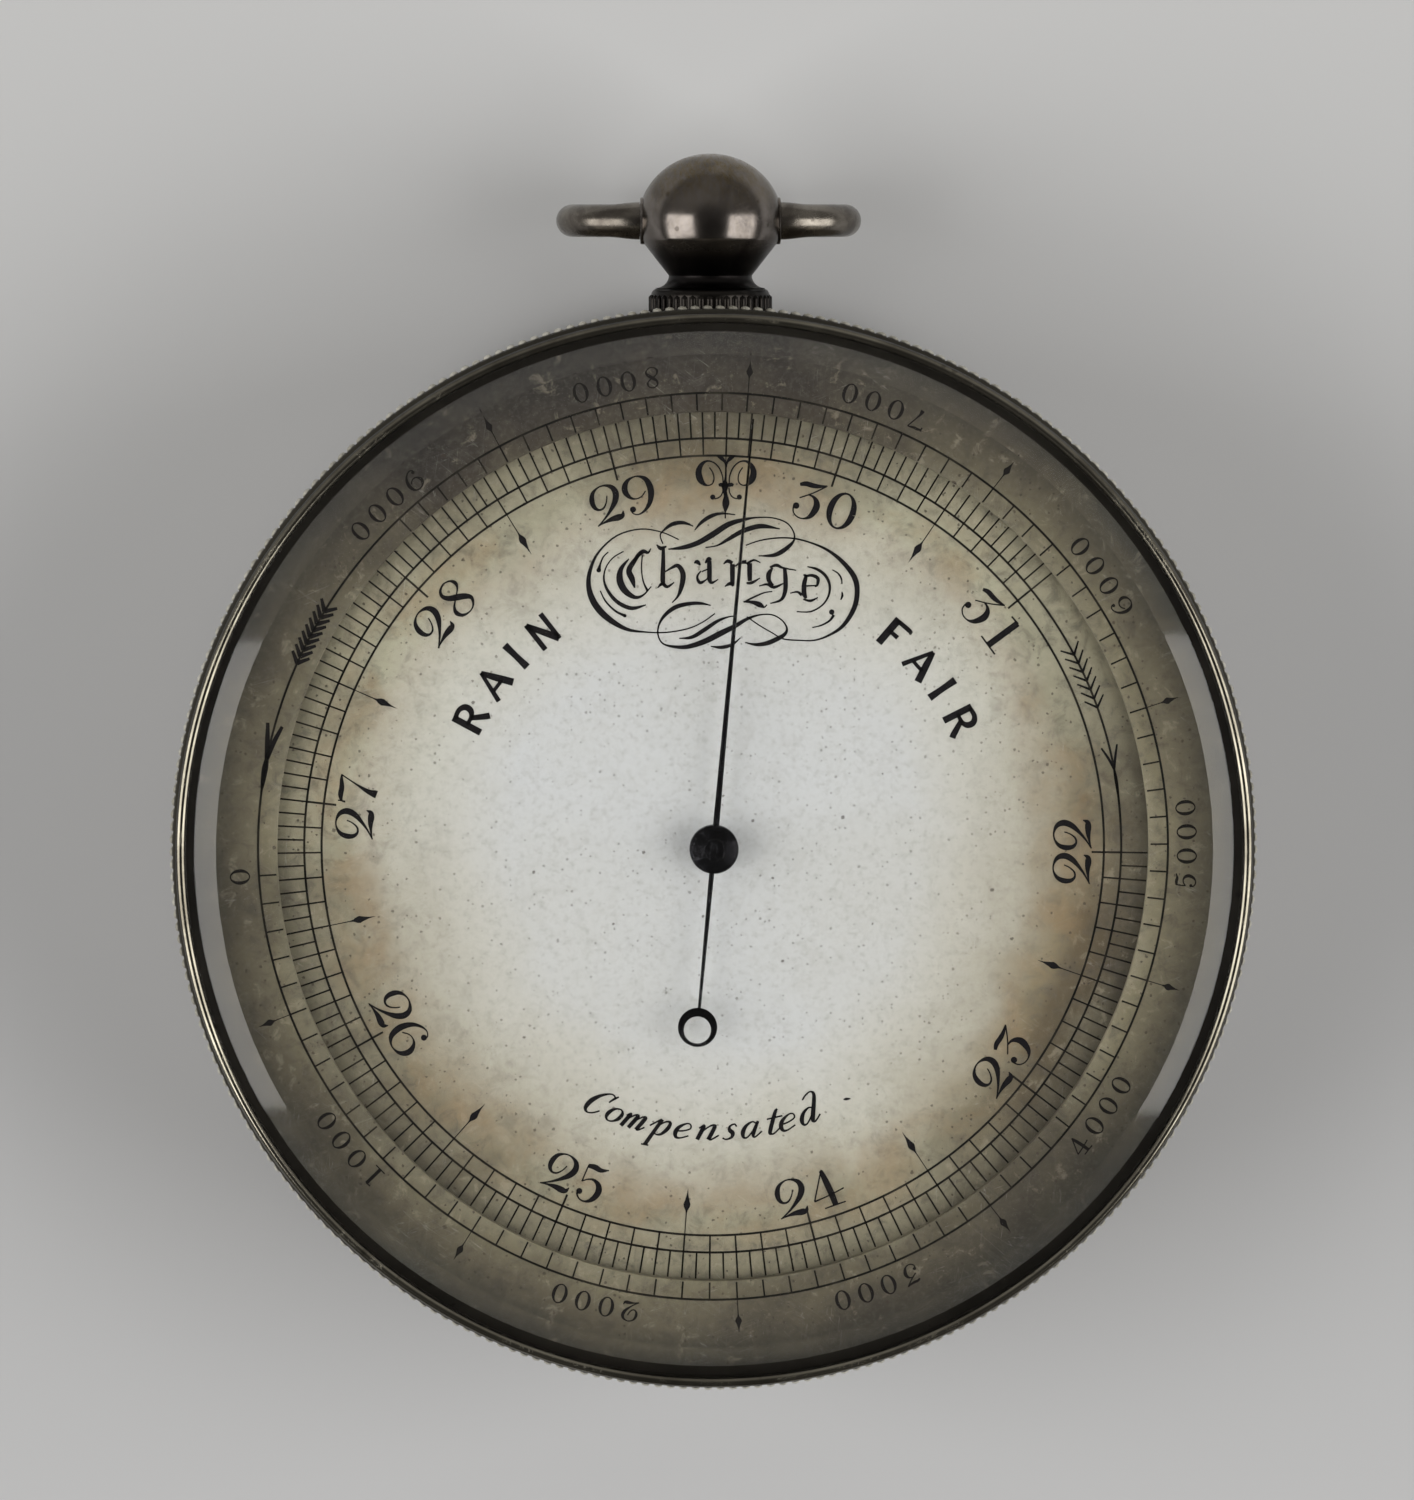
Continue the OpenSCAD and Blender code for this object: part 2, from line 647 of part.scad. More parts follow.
module skin(side) {
    half = skin_t / 2;
    lathe(concat([for (r = skin_radii) [r, side * (skin_h(r) - half)]],
        [for (r = reversed(skin_radii)) [r, side * (skin_h(r) + half)]]));
}

module capsule_lower() {
    color("silver") translate([0, 0, cap_mid_z]) skin(-1);
}

module capsule_upper() {
    color("silver") translate([0, 0, cap_mid_z]) skin(1);
}

module capsule_stud() {
    color("goldenrod") {
        rod(cap_stud_r, plate_z, plate_t + eps);
        rod(cap_mid_r - 0.5, plate_top, cap_gap);
    }
}

module capsule_post() {
    color("goldenrod")
        difference() {
            union() {
                rod(cap_mid_r - 0.5, cap_top, 0.3);
                rod(post_r, cap_top, post_top - cap_top);
            }
            along_x(-post_r - 1, 0, knife_z) cylinder(r = knife_r, h = 2 * post_r + 2);
        }
}

module knife_edge() {
    color("dimgray") along_x(-knife_len / 2, 0, knife_z) cylinder(r = knife_r, h = knife_len);
}

// Main spring, its bridge and the lever

// Outline of the C spring seen from +X, drawn as [y, z]
spring_outline = let (c = [-bend_y, bend_z], out = bend_r + spring_t / 2, in = bend_r - spring_t / 2)
    concat([[spring_tip, spring_top]], arc(c, out, 90, 270, 24), [[limb_y, limb_z]],
        [[limb_y, limb_z + spring_t]], arc(c, in, 270, 90, 24), [[spring_tip, spring_z]]);

module main_spring() {
    half = spring_w / 2;
    end = spring_end_w / 2;
    reach = bend_y + bend_r + spring_t;
    color("slategray")
        difference() {
            intersection() {
                translate([-half - 1, 0, 0]) rotate([90, 0, 90])
                    linear_extrude(spring_w + 2) polygon(spring_outline);
                translate([0, 0, limb_z - 1]) linear_extrude(spring_top - limb_z + 2)
                    polygon([[-half, -reach], [half, -reach], [half, ear_y + 1], [end, spring_tip + 1],
                        [-end, spring_tip + 1], [-half, ear_y + 1]]);
            }
            rod(post_hole_r, spring_z - 1, spring_t + 2);
            at(spring_screw_at) rod(screw_r + push_fit, limb_z - 1, spring_t + 2);
        }
}

module spring_screws() {
    color("steelblue") at(spring_screw_at) screw(screw_r, head_r, head_h, limb_z + spring_t,
        spring_t + bridge_t);
}

module spring_bridge() {
    ear_h = ear_z - bridge_z + 0.9;
    color("goldenrod")
        difference() {
            union() {
                translate([-bridge_half_w, -bend_y - 1, bridge_z])
                    cube([2 * bridge_half_w, bend_y + 1 + ear_y, bridge_t]);
                for (side = [-1, 1])
                    translate([side * (bridge_half_w + ear_t / 2) - ear_t / 2, ear_y - ear_w / 2, bridge_z])
                        cube([ear_t, ear_w, ear_h]);
                translate([-bridge_half_w - ear_t / 2, ear_y - ear_w / 2, bridge_z])
                    cube([2 * bridge_half_w + ear_t, ear_w, bridge_t]);
            }
            along_x(-2 * bridge_half_w, ear_y, ear_z) cylinder(r = pivot_r, h = 4 * bridge_half_w);
            at(spring_screw_at) rod(screw_r, bridge_z - 1, bridge_t + 2);
        }
}

module bridge_cocks() {
    x = bridge_cock_x + cock_t / 2;
    color("goldenrod")
        for (side = [-1, 1])
            difference() {
                translate([side * x - cock_t / 2, ear_y - bridge_cock_w / 2, plate_top])
                    cube([cock_t, bridge_cock_w, ear_z - plate_top + bridge_cock_over]);
                along_x(side * x - cock_t, ear_y, ear_z) cylinder(r = pivot_r, h = 2 * cock_t);
            }
}

module pivot_screws() {
    tip = bridge_half_w + pivot_tip_out;
    end = bridge_cock_x + cock_t;
    color("steelblue")
        for (side = [-1, 1]) mirror([side < 0 ? 1 : 0, 0, 0]) {
            along_x(tip, ear_y, ear_z) cylinder(r = pivot_r, h = end - tip + eps);
            along_x(end, ear_y, ear_z) cylinder(r = pivot_head_r, h = pivot_head_h);
        }
}

module lever_arm() {
    half = lever_w / 2;
    foot_end = spring_end_w / 2 - 0.3;
    color("goldenrod")
        difference() {
            union() {
                translate([0, 0, lever_z]) linear_extrude(lever_t)
                    polygon([[-foot_end, post_hole_r + 0.4], [lever_x + half, post_hole_r + 0.4],
                        [lever_x + half, link_y], [lever_x - half, link_y],
                        [lever_x - half, spring_tip], [-foot_end, spring_tip]]);
                along_x(lever_x - half, link_y, lever_pin_z) cylinder(r = lever_eye_r, h = lever_w);
                along_x(lever_x, link_y, lever_pin_z)
                    cylinder(r = pivot_r, h = link_x + link_t / 2 + 0.1 - lever_x);
            }
            at(lever_screw_at) rod(screw_r, lever_z - 1, lever_t + 2);
        }
}

module compensating_strip() {
    color("slategray")
        translate([lever_x - lever_w / 2 + 0.3, spring_tip + 1, lever_z + lever_t])
            cube([lever_w - 0.6, link_y - spring_tip - 3, steel_t]);
}

module lever_screws() {
    color("steelblue") at(lever_screw_at) screw(screw_r, 1.1, 0.6, lever_z + lever_t, lever_t);
}

module link_rod() {
    x = link_x - link_t / 2;
    wide = 0.7;
    color("slategray")
        difference() {
            union() {
                translate([x, link_y - wide / 2, link_low_z]) cube([link_t, wide, lever_pin_z - link_low_z]);
                along_x(x, link_y, lever_pin_z) cylinder(r = pivot_r + 0.35, h = link_t);
                along_x(x, link_y, link_low_z) cylinder(r = pivot_r + open_gap + 0.3, h = link_t);
            }
            along_x(x - 1, link_y, lever_pin_z) cylinder(r = pivot_r + run_fit, h = link_t + 2);
            along_x(x - 1, link_y, link_low_z) cylinder(r = pivot_r + open_gap, h = link_t + 2);
        }
}

// Rocking arbor

module rocking_arbor() {
    left = cock_left_x + cock_t / 2 + 0.1;
    right = cock_right_x - cock_t / 2 - 0.1;
    color("slategray") {
        along_x(left, rock_y, rock_z) cylinder(r = rock_r, h = right - left);
        along_x(cock_left_x, rock_y, rock_z) cylinder(r = pivot_r, h = cock_right_x - cock_left_x);
    }
}

// Places an arm that is drawn upright at the rocking arbor
module on_rocker(x, turn) translate([x, rock_y, rock_z]) rotate([turn, 0, 0]) children();

module chain_arm() {
    wide = 1.2;
    color("goldenrod")
        on_rocker(chain_x - arm_t / 2, -rock_lean) difference() {
            union() {
                along_x(0, 0, 0) cylinder(r = rock_r + 0.6, h = arm_t);
                rotate([90, 0, 90]) linear_extrude(arm_t)
                    polygon([[-wide / 2, 0], [wide / 2, 0], [0.3, chain_arm_len], [-0.3, chain_arm_len]]);
                along_x(0, 0, chain_arm_len) cylinder(r = arm_end_r, h = arm_t);
            }
            along_x(-1, 0, 0) cylinder(r = rock_r, h = arm_t + 2);
        }
}

module link_arm() {
    color("goldenrod")
        on_rocker(link_arm_x, -rock_lean) difference() {
            union() {
                along_x(0, 0, 0) cylinder(r = rock_r + 0.6, h = arm_t);
                translate([0, 0, -arm_end_r]) cube([arm_t, link_arm_len, 2 * arm_end_r]);
                along_x(0, link_arm_len, 0) cylinder(r = arm_end_r + eps, h = arm_t);
                along_x(-link_t - arm_gap - 0.1, link_arm_len, 0)
                    cylinder(r = pivot_r, h = link_t + arm_gap + 0.2);
            }
            along_x(-1, 0, 0) cylinder(r = rock_r, h = arm_t + 2);
        }
}

module rocker_cocks() {
    h = rock_z - plate_top + 1.2;
    color("goldenrod")
        for (x = [cock_left_x, cock_right_x])
            difference() {
                translate([x - cock_t / 2, rock_y - cock_w / 2, plate_top]) cube([cock_t, cock_w, h]);
                along_x(x - cock_t, rock_y, rock_z) cylinder(r = pivot_r + run_fit, h = 2 * cock_t);
                translate([x, cock_screw_y, 0]) rod(rocker_screw_r, plate_top - 1, rocker_screw_in + 1);
            }
}

module rocker_cock_screws() {
    color("steelblue") at(rocker_screw_at)
        rod(rocker_screw_r, plate_z + plate_skin, plate_t - plate_skin + rocker_screw_in);
}

module fusee_chain() {
    links = 26;
    lap = 0.15;
    pitch = (chain_y - arm_end_r - chain_gap) / (links + lap);
    color("dimgray")
        for (i = [0:links - 1]) {
            wide = i % 2 == 0 ? 0.34 : 0.2;
            translate([chain_x - wide / 2, i * pitch, chain_z - 0.15]) cube([wide, pitch * (1 + lap), 0.3]);
        }
}

// Arbor bridge and the hand's train

module bridge_pillars() {
    color("goldenrod")
        at(bridge_pillar_at) difference() {
            union() {
                rod(bridge_pillar_r, plate_top, arbor_bridge_z - plate_top);
                rod(screw_r, plate_z, plate_t + eps);
            }
            rod(screw_r, arbor_bridge_z - pillar_thread_in, pillar_thread_in + 1);
        }
}

module arbor_bridge() {
    half = arbor_bridge_w / 2;
    color("darkgoldenrod")
        difference() {
            translate([0, 0, arbor_bridge_z]) linear_extrude(arbor_bridge_t) difference() {
                union() {
                    polygon([[-bridge_pillar_x, -2.4], [0, -half], [bridge_pillar_x, -2.4],
                        [bridge_pillar_x, 2.4], [0, half], [-bridge_pillar_x, 2.4]]);
                    at(bridge_pillar_at) circle(r = 2.7);
                    circle(r = half + 1.6);
                }
                at(bridge_pillar_at) circle(r = screw_r + push_fit);
            }
            rod(arbor_r + run_fit, arbor_bridge_z - 1, arbor_bridge_t + 2);
            translate([lower_cock_x, 0, 0]) rod(screw_r, arbor_bridge_z - 1, arbor_bridge_t + 2);
            translate([hair_stud_x, 0, 0]) rod(hair_stud_r, hair_stud_z, arbor_bridge_t);
        }
}

module pillar_screws() {
    color("steelblue") at(bridge_pillar_at) screw(screw_r, head_r, head_h, arbor_bridge_top,
        arbor_bridge_t + pillar_thread_in);
}

module lower_cock() {
    foot_h = arbor_bridge_z - lower_cock_z;
    color("goldenrod")
        difference() {
            union() {
                translate([lower_cock_x, 0, 0]) rod(lower_foot_r, lower_cock_z, foot_h);
                translate([lower_cock_x, -lower_cock_w / 2, lower_cock_z])
                    cube([-lower_cock_x, lower_cock_w, lower_cock_t]);
                rod(lower_cock_w / 2 + eps, lower_cock_z, lower_cock_t);
            }
            rod(pivot_r + run_fit, lower_cock_z - 1, lower_cock_t + 2);
            translate([lower_cock_x, 0, 0]) rod(screw_r, arbor_bridge_z - lower_thread_in, foot_h);
        }
}

module lower_cock_screw() {
    color("steelblue") translate([lower_cock_x, 0, 0])
        screw(screw_r, head_r, head_h, arbor_bridge_top, arbor_bridge_t + lower_thread_in);
}

module hand_arbor() {
    color("slategray") {
        rod(pivot_r, lower_cock_z + 0.05, pulley_z - lower_cock_z);
        rod(arbor_r, pulley_z - 0.1, hand_z + hub_h * 0.6 - pulley_z);
    }
}

module chain_pulley() {
    lip = 0.25;
    groove_r = pulley_r - 0.17;
    color("goldenrod")
        difference() {
            turned([[0, pulley_z], [pulley_r + lip, pulley_z], [groove_r, pulley_z + 0.2],
                [groove_r, pulley_z + pulley_h - 0.2], [pulley_r + lip, pulley_z + pulley_h],
                [0, pulley_z + pulley_h]]);
            rod(arbor_r, pulley_z - 1, pulley_h + 2);
        }
}

module hairspring_collet() {
    color("goldenrod")
        difference() {
            rod(collet_r, hair_z - 0.1, hair_h + 0.2);
            rod(arbor_r, hair_z - 1, hair_h + 2);
        }
}

module hairspring() {
    steps = 28 * hair_n;
    start_r = collet_r + run_fit;
    function spiral(r_off) = [for (i = [0:steps]) let (a = 360 * hair_n * i / steps)
        (start_r + r_off + (hair_r - start_r) * i / steps) * [cos(a), sin(a)]];
    color("slategray") translate([0, 0, hair_z]) linear_extrude(hair_h)
        polygon(concat(spiral(hair_t), reversed(spiral(0))));
}

module hairspring_stud() {
    color("goldenrod") translate([hair_stud_x, 0, 0])
        rod(hair_stud_r, hair_stud_z, hair_z + hair_h - hair_stud_z);
}

module hand() {
    color([0.1, 0.1, 0.13])
        rotate([0, 0, hand_rest]) difference() {
            union() {
                translate([0, 0, hand_z]) linear_extrude(hand_t) difference() {
                    union() {
                        polygon([[-0.28, 0], [0.28, 0], [0.07, hand_len], [-0.07, hand_len]]);
                        polygon([[-0.32, 0], [-0.11, -tail_len], [0.11, -tail_len], [0.32, 0]]);
                        translate([0, -tail_len]) circle(r = tail_ring_r);
                    }
                    translate([0, -tail_len - tail_hole_out]) circle(r = tail_hole_r);
                }
                turned(concat([[0, hand_z], [hub_r, hand_z], [hub_r, hand_z + hub_h - 0.35]],
                    arc([hub_r - 0.35, hand_z + hub_h - 0.35], 0.35, 15, 90, 5), [[0, hand_z + hub_h]]));
            }
            rod(arbor_r, hand_z - 1, 1 + hub_h * 0.5);
        }
}

// Adjusting screw in the back

module adjusting_screw() {
    head_top = adj_sink + adj_head_h;
    color("goldenrod")
        translate([0, -adj_y, 0]) difference() {
            union() {
                rod(adj_head_r, adj_sink, adj_head_h);
                rod(adj_r, head_top - eps, plate_top - head_top - 0.02);
            }
            translate([-adj_head_r - 1, -0.2, adj_sink - 1]) cube([2 * adj_head_r + 2, 0.4, 1.4]);
        }
}

case_body();
pendant_collar();
pendant_ball();
pendant_nut();
bow();
bezel();
crystal();
glass_ring();
altitude_ring();
dial();
dial_feet();
dial_pillars();
base_plate();
plate_screws();
capsule_lower();
capsule_upper();
capsule_stud();
capsule_post();
knife_edge();
main_spring();
spring_screws();
spring_bridge();
bridge_cocks();
pivot_screws();
lever_arm();
compensating_strip();
lever_screws();
link_rod();
rocking_arbor();
chain_arm();
link_arm();
rocker_cocks();
rocker_cock_screws();
fusee_chain();
bridge_pillars();
arbor_bridge();
pillar_screws();
lower_cock();
lower_cock_screw();
hand_arbor();
chain_pulley();
hairspring_collet();
hairspring();
hairspring_stud();
hand();
adjusting_screw();
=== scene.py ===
# Pocket barometer: an aneroid in a round metal case, lying on its back with the dial up.
# Lengths in the tables are millimetres, and become metres when a mesh is made.
import math

import bmesh
import bpy
from mathutils import Matrix, Vector


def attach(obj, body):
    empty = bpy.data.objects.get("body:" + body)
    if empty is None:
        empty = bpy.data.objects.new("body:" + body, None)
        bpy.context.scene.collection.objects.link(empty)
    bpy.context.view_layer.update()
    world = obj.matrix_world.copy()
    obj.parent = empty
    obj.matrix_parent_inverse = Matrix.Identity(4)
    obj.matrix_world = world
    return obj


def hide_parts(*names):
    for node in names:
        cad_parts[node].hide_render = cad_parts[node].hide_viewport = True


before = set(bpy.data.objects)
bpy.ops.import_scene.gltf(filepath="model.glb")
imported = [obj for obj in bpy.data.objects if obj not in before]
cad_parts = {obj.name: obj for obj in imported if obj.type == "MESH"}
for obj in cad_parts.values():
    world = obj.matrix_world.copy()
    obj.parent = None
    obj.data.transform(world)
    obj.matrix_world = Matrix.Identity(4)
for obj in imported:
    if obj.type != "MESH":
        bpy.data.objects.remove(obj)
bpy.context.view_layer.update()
scene = bpy.context.scene
MM = 0.001

# Small roundings of turned edges
EDGE = 0.08
FINE_EDGE = 0.05
SHOULDER_EDGE = 0.12

# Case: radii, and heights over the back
CASE_R = 31.5
CASE_IN = 30.4
SPIGOT_R = 31.0
CASE_TOP = 15.2
SPIGOT_TOP = 17.3
SNAP_Z = 16.25
SNAP_HALF = 0.3
SNAP_DEPTH = 0.2
BACK_EDGE_R = 3.2
BACK_T = 1.0
BACK_BOSS_R = 2.6
BACK_BOSS_H = 0.8
BACK_BOSS_OUT = 25.0
ADJUSTER_HOLE_R = 1.55
ADJUSTER_OUT = 21.5

# Bezel and glass
BORE_R = 31.05
BEZEL_Z = 15.3
SNAP_GROOVE_HALF = 0.35
SNAP_GROOVE_DEPTH = 0.225
SKIRT_R = 31.68
MILL_ROOT_R = 31.78
MILL_DEPTH = 0.21
MILL_TEETH = 270
MILL_TOOTH_W = 0.56
MILL_Z = 17.65
MILL_H = 3.22
RIM_SEAT_Z = 20.9
BEAD_MID_R = 31.27
BEAD_Z = 22.1
BEAD_R = 0.3
BEAD_FOOT_TURN = -50
SIGHT_R = 30.97
GLASS_Z = 20.3
GLASS_TOP = 22.3
GLASS_RIM_Z = 21.55
GLASS_FLAT_R = 29.2
SIGHT_Z = GLASS_RIM_Z + (GLASS_TOP - GLASS_RIM_Z) * (BORE_R - SIGHT_R) / (BORE_R - GLASS_FLAT_R)

# Dial and altitude ring
DIAL_TOP = 17.2
RING_IN = 25.67
RING_Z = 17.5
RING_TOP = 18.1
INK_LIFT = 0.02

# Pendant, measured along its own axis, which lies along +Y
PENDANT_Z = 11.2
COLLAR_R = 3.7
COLLAR_START = 30.9
COLLAR_END = 32.9
COLLAR_EDGE = 0.45
KNURL_TEETH = 43
KNURL_DEPTH = 0.16
KNURL_START = 31.4
KNURL_LEN = 1.12
KNURL_TOOTH_W = 0.42
KNURL_TOOTH_T = 0.17
FOOT_R = 3.3
NECK_R = 2.48
NECK_Y = 33.65
BALL_Y = 36.9
BALL_R = 4.0
BALL_HALF_W = 4.3
CONE_Y = 35.75
STUD_R = 1.6
STUD_Y = 28.5
STUD_PLAY = 0.02
BOSS_R = 1.4
BOSS_X = 4.19

# Bow, and the pins that its ends turn on
WIRE_R = 0.97
BOW_HALF_W = 8.2
BOW_REACH = 9.4
BOW_CORNER_R = 3.7
BOW_END_R = 1.12
BOW_END_X = 4.22
SWELL = 1.9
PIN_R = 0.8
PIN_HALF = 1.05
PIN_SHIFT = 0.75
PIN_PLAY = 0.05

# Hand
HAND_Z = 18.5
HAND_T = 0.25
HAND_LEN = 25.4
HAND_REST = -5.2
NEEDLE_HALF_W = (0.2, 0.06)
TAIL_HALF_W = (0.16, 0.09)
HUB_R = 1.45
HUB_EDGE = 0.32
HUB_CAP_R = 0.72
HUB_TIP_R = 0.6
HUB_TOP = 19.5
TAIL_LEN = 10.6
TAIL_R = 1.16
TAIL_OVERLAP = 0.15
TAIL_HOLE_R = 0.8
TAIL_HOLE_OUT = 0.15


# Meshes

def arc(mid, radius, start, end, steps):
    turns = [math.radians(start + (end - start) * k / steps) for k in range(steps + 1)]
    return [(mid[0] + radius * math.cos(a), mid[1] + radius * math.sin(a)) for a in turns]


def soften(profile, cuts=4):
    """Rounds each corner of a closed outline that is written as (x, y, radius)."""
    out = []
    for k, corner in enumerate(profile):
        here = Vector(corner[:2])
        if len(corner) < 3:
            out.append(tuple(here))
            continue
        before = Vector(profile[k - 1][:2]) - here
        after = Vector(profile[(k + 1) % len(profile)][:2]) - here
        reach = corner[2] / math.tan(before.angle(after) / 2)
        reach = min(reach, 0.45 * before.length, 0.45 * after.length)
        start = here + before.normalized() * reach
        end = here + after.normalized() * reach
        for step in range(cuts + 1):
            t = step / cuts
            out.append(tuple(start * (1 - t) ** 2 + here * 2 * t * (1 - t) + end * t * t))
    return out


def turned(profile, steps=256):
    """Points and faces of a closed outline of (radius, height) turned round +Z."""
    points, rings, faces = [], [], []
    for radius, height in profile:
        if radius < 1e-6:
            rings.append([len(points)])
            points.append((0, 0, height))
            continue
        rings.append(list(range(len(points), len(points) + steps)))
        for k in range(steps):
            a = 2 * math.pi * k / steps
            points.append((radius * math.cos(a), radius * math.sin(a), height))
    for low, high in zip(rings, rings[1:] + rings[:1]):
        for k in range(steps):
            n = (k + 1) % steps
            if len(low) == 1 and len(high) == 1:
                break
            if len(low) == 1:
                faces.append((low[0], high[n], high[k]))
            elif len(high) == 1:
                faces.append((low[k], low[n], high[0]))
            else:
                faces.append((low[k], low[n], high[n], high[k]))
    return points, faces


def tube_faces(count, sides, closed=False):
    """Faces that join rings of points into a tube, capped unless it closes on itself."""
    faces = []
    for ring in range(count if closed else count - 1):
        low, high = ring * sides, (ring + 1) % count * sides
        for k in range(sides):
            n = (k + 1) % sides
            faces.append((low + k, low + n, high + n, high + k))
    if not closed:
        faces.append(tuple(range(sides)))
        faces.append(tuple((count - 1) * sides + k for k in range(sides)))
    return faces


def on_pendant(shape):
    """Lays a shape that was turned round +Z along the pendant's axis."""
    return [(x, z, PENDANT_Z - y) for x, y, z in shape[0]], shape[1]


def across_ball(shape, x=0.0, side=1):
    """Lays a shape that was turned round +Z along +X through the ball's middle, or along -X."""
    return [(x + side * pz, BALL_Y + px, PENDANT_Z + py) for px, py, pz in shape[0]], shape[1]


def make_piece(name, shape, material, closed=True, sharp=32):
    mesh = bpy.data.meshes.new(name)
    mesh.from_pydata([(x * MM, y * MM, z * MM) for x, y, z in shape[0]], [], shape[1])
    if closed:
        work = bmesh.new()
        work.from_mesh(mesh)
        bmesh.ops.recalc_face_normals(work, faces=work.faces)
        work.to_mesh(mesh)
        work.free()
    mesh.materials.append(material)
    piece = bpy.data.objects.new(name, mesh)
    scene.collection.objects.link(piece)
    smooth(piece, sharp)
    return piece


def smooth(piece, sharp=32):
    piece.data.shade_smooth()
    piece.data.set_sharp_from_angle(angle=math.radians(sharp))


def settle(piece):
    """Gives a piece the mesh that its modifiers make, and takes the modifiers off."""
    seen = piece.evaluated_get(bpy.context.evaluated_depsgraph_get())
    mesh = bpy.data.meshes.new_from_object(seen)
    old = piece.data
    piece.modifiers.clear()
    piece.data = mesh
    bpy.data.meshes.remove(old)
    mesh.name = piece.name


def shaped_by(piece, others, operation):
    """Cuts other shapes out of a piece, or joins them to it."""
    helpers = []
    for k, shape in enumerate(others):
        helper = make_piece(f"{piece.name}_helper_{k}", shape, piece.data.materials[0])
        change = piece.modifiers.new(f"change_{k}", "BOOLEAN")
        change.object = helper
        change.operation = operation
        change.solver = "EXACT"
        helpers.append(helper)
    settle(piece)
    for helper in helpers:
        mesh = helper.data
        bpy.data.objects.remove(helper)
        bpy.data.meshes.remove(mesh)
    smooth(piece)


def peg(radius, low, high, at=(0, 0)):
    outline = [(0, low), (radius, low, FINE_EDGE), (radius, high, FINE_EDGE), (0, high)]
    points, faces = turned(soften(outline, 2), 48)
    return [(x + at[0], y + at[1], z) for x, y, z in points], faces


# Nodes

def paint(code):
    """Linear colour of a six-digit screen colour."""
    parts = [int(code[k:k + 2], 16) / 255 for k in (0, 2, 4)]
    return [p / 12.92 if p <= 0.04045 else ((p + 0.055) / 1.055) ** 2.4 for p in parts] + [1.0]


class Wiring:
    """Puts nodes into a tree and wires them. A colour is a socket or a six-digit screen colour."""

    def __init__(self, tree):
        self.tree = tree

    def feed(self, socket, value):
        if isinstance(value, bpy.types.NodeSocket):
            self.tree.links.new(value, socket)
        elif isinstance(value, str) and socket.type == "RGBA":
            socket.default_value = paint(value)
        else:
            socket.default_value = value

    def put(self, kind, feeds=(), **settings):
        node = self.tree.nodes.new(kind)
        for name, value in settings.items():
            setattr(node, name, value)
        for name, value in dict(feeds).items():
            self.feed(node.inputs[name], value)
        return node

    def maths(self, operation, a, b=0.0):
        return self.put("ShaderNodeMath", {0: a, 1: b, 2: 0.0}, operation=operation).outputs[0]

    def plus(self, total, *terms):
        for term in terms:
            total = self.maths("ADD", total, term)
        return total

    def minus(self, a, b):
        return self.maths("SUBTRACT", a, b)

    def times(self, a, b):
        return self.maths("MULTIPLY", a, b)

    def absolute(self, value):
        return self.maths("ABSOLUTE", value)

    def blend(self, factor, a, b):
        return self.put("ShaderNodeMix", {0: factor, 6: a, 7: b}, data_type="RGBA").outputs[2]

    def stain(self, colour, mask, share, tone):
        """Lays a tone over a colour where the mask is, as far as share."""
        return self.blend(self.times(mask, share), colour, tone)

    def between(self, factor, a, b):
        return self.put("ShaderNodeMix", {0: factor, 2: a, 3: b}, data_type="FLOAT").outputs[0]

    def remap(self, value, low, high, to_low=0.0, to_high=1.0, curve="SMOOTHSTEP"):
        feeds = {0: value, 1: low, 2: high, 3: to_low, 4: to_high}
        return self.put("ShaderNodeMapRange", feeds, interpolation_type=curve).outputs[0]

    def ramp(self, value, stops, grey=False):
        node = self.put("ShaderNodeValToRGB", {0: value})
        band = node.color_ramp
        while len(band.elements) < len(stops):
            band.elements.new(0.5)
        for element, (place, colour) in zip(band.elements, stops):
            element.position = place
            element.color = [colour] * 3 + [1.0] if grey else paint(colour)
        return node.outputs[0]

    def place(self):
        return self.put("ShaderNodeTexCoord").outputs["Object"]

    def parts(self, vector):
        return self.put("ShaderNodeSeparateXYZ", {0: vector}).outputs

    def noise(self, vector, scale, detail=3.0, rough=0.55, stretch=None, turn=0.0, warp=0.0):
        if stretch:
            feeds = {"Vector": vector, "Rotation": (0, 0, turn), "Scale": stretch}
            vector = self.put("ShaderNodeMapping", feeds, vector_type="TEXTURE").outputs[0]
        feeds = {"Vector": vector, "Scale": scale, "Detail": detail, "Roughness": rough,
                 "Distortion": warp}
        return self.put("ShaderNodeTexNoise", feeds).outputs[0]

    def relief(self, height, depth, strength):
        """A normal from a height, where depth is in millimetres."""
        feeds = {"Strength": strength, "Distance": depth * MM, "Height": height}
        return self.put("ShaderNodeBump", feeds).outputs[0]

    def group(self, tree, **feeds):
        node = self.put("ShaderNodeGroup", node_tree=tree)
        for name, value in feeds.items():
            self.feed(node.inputs[name], value)
        return node.outputs

    def mask(self, tree, **feeds):
        return self.group(tree, **feeds)["Mask"]


SOCKETS = {float: "NodeSocketFloat", list: "NodeSocketColor"}


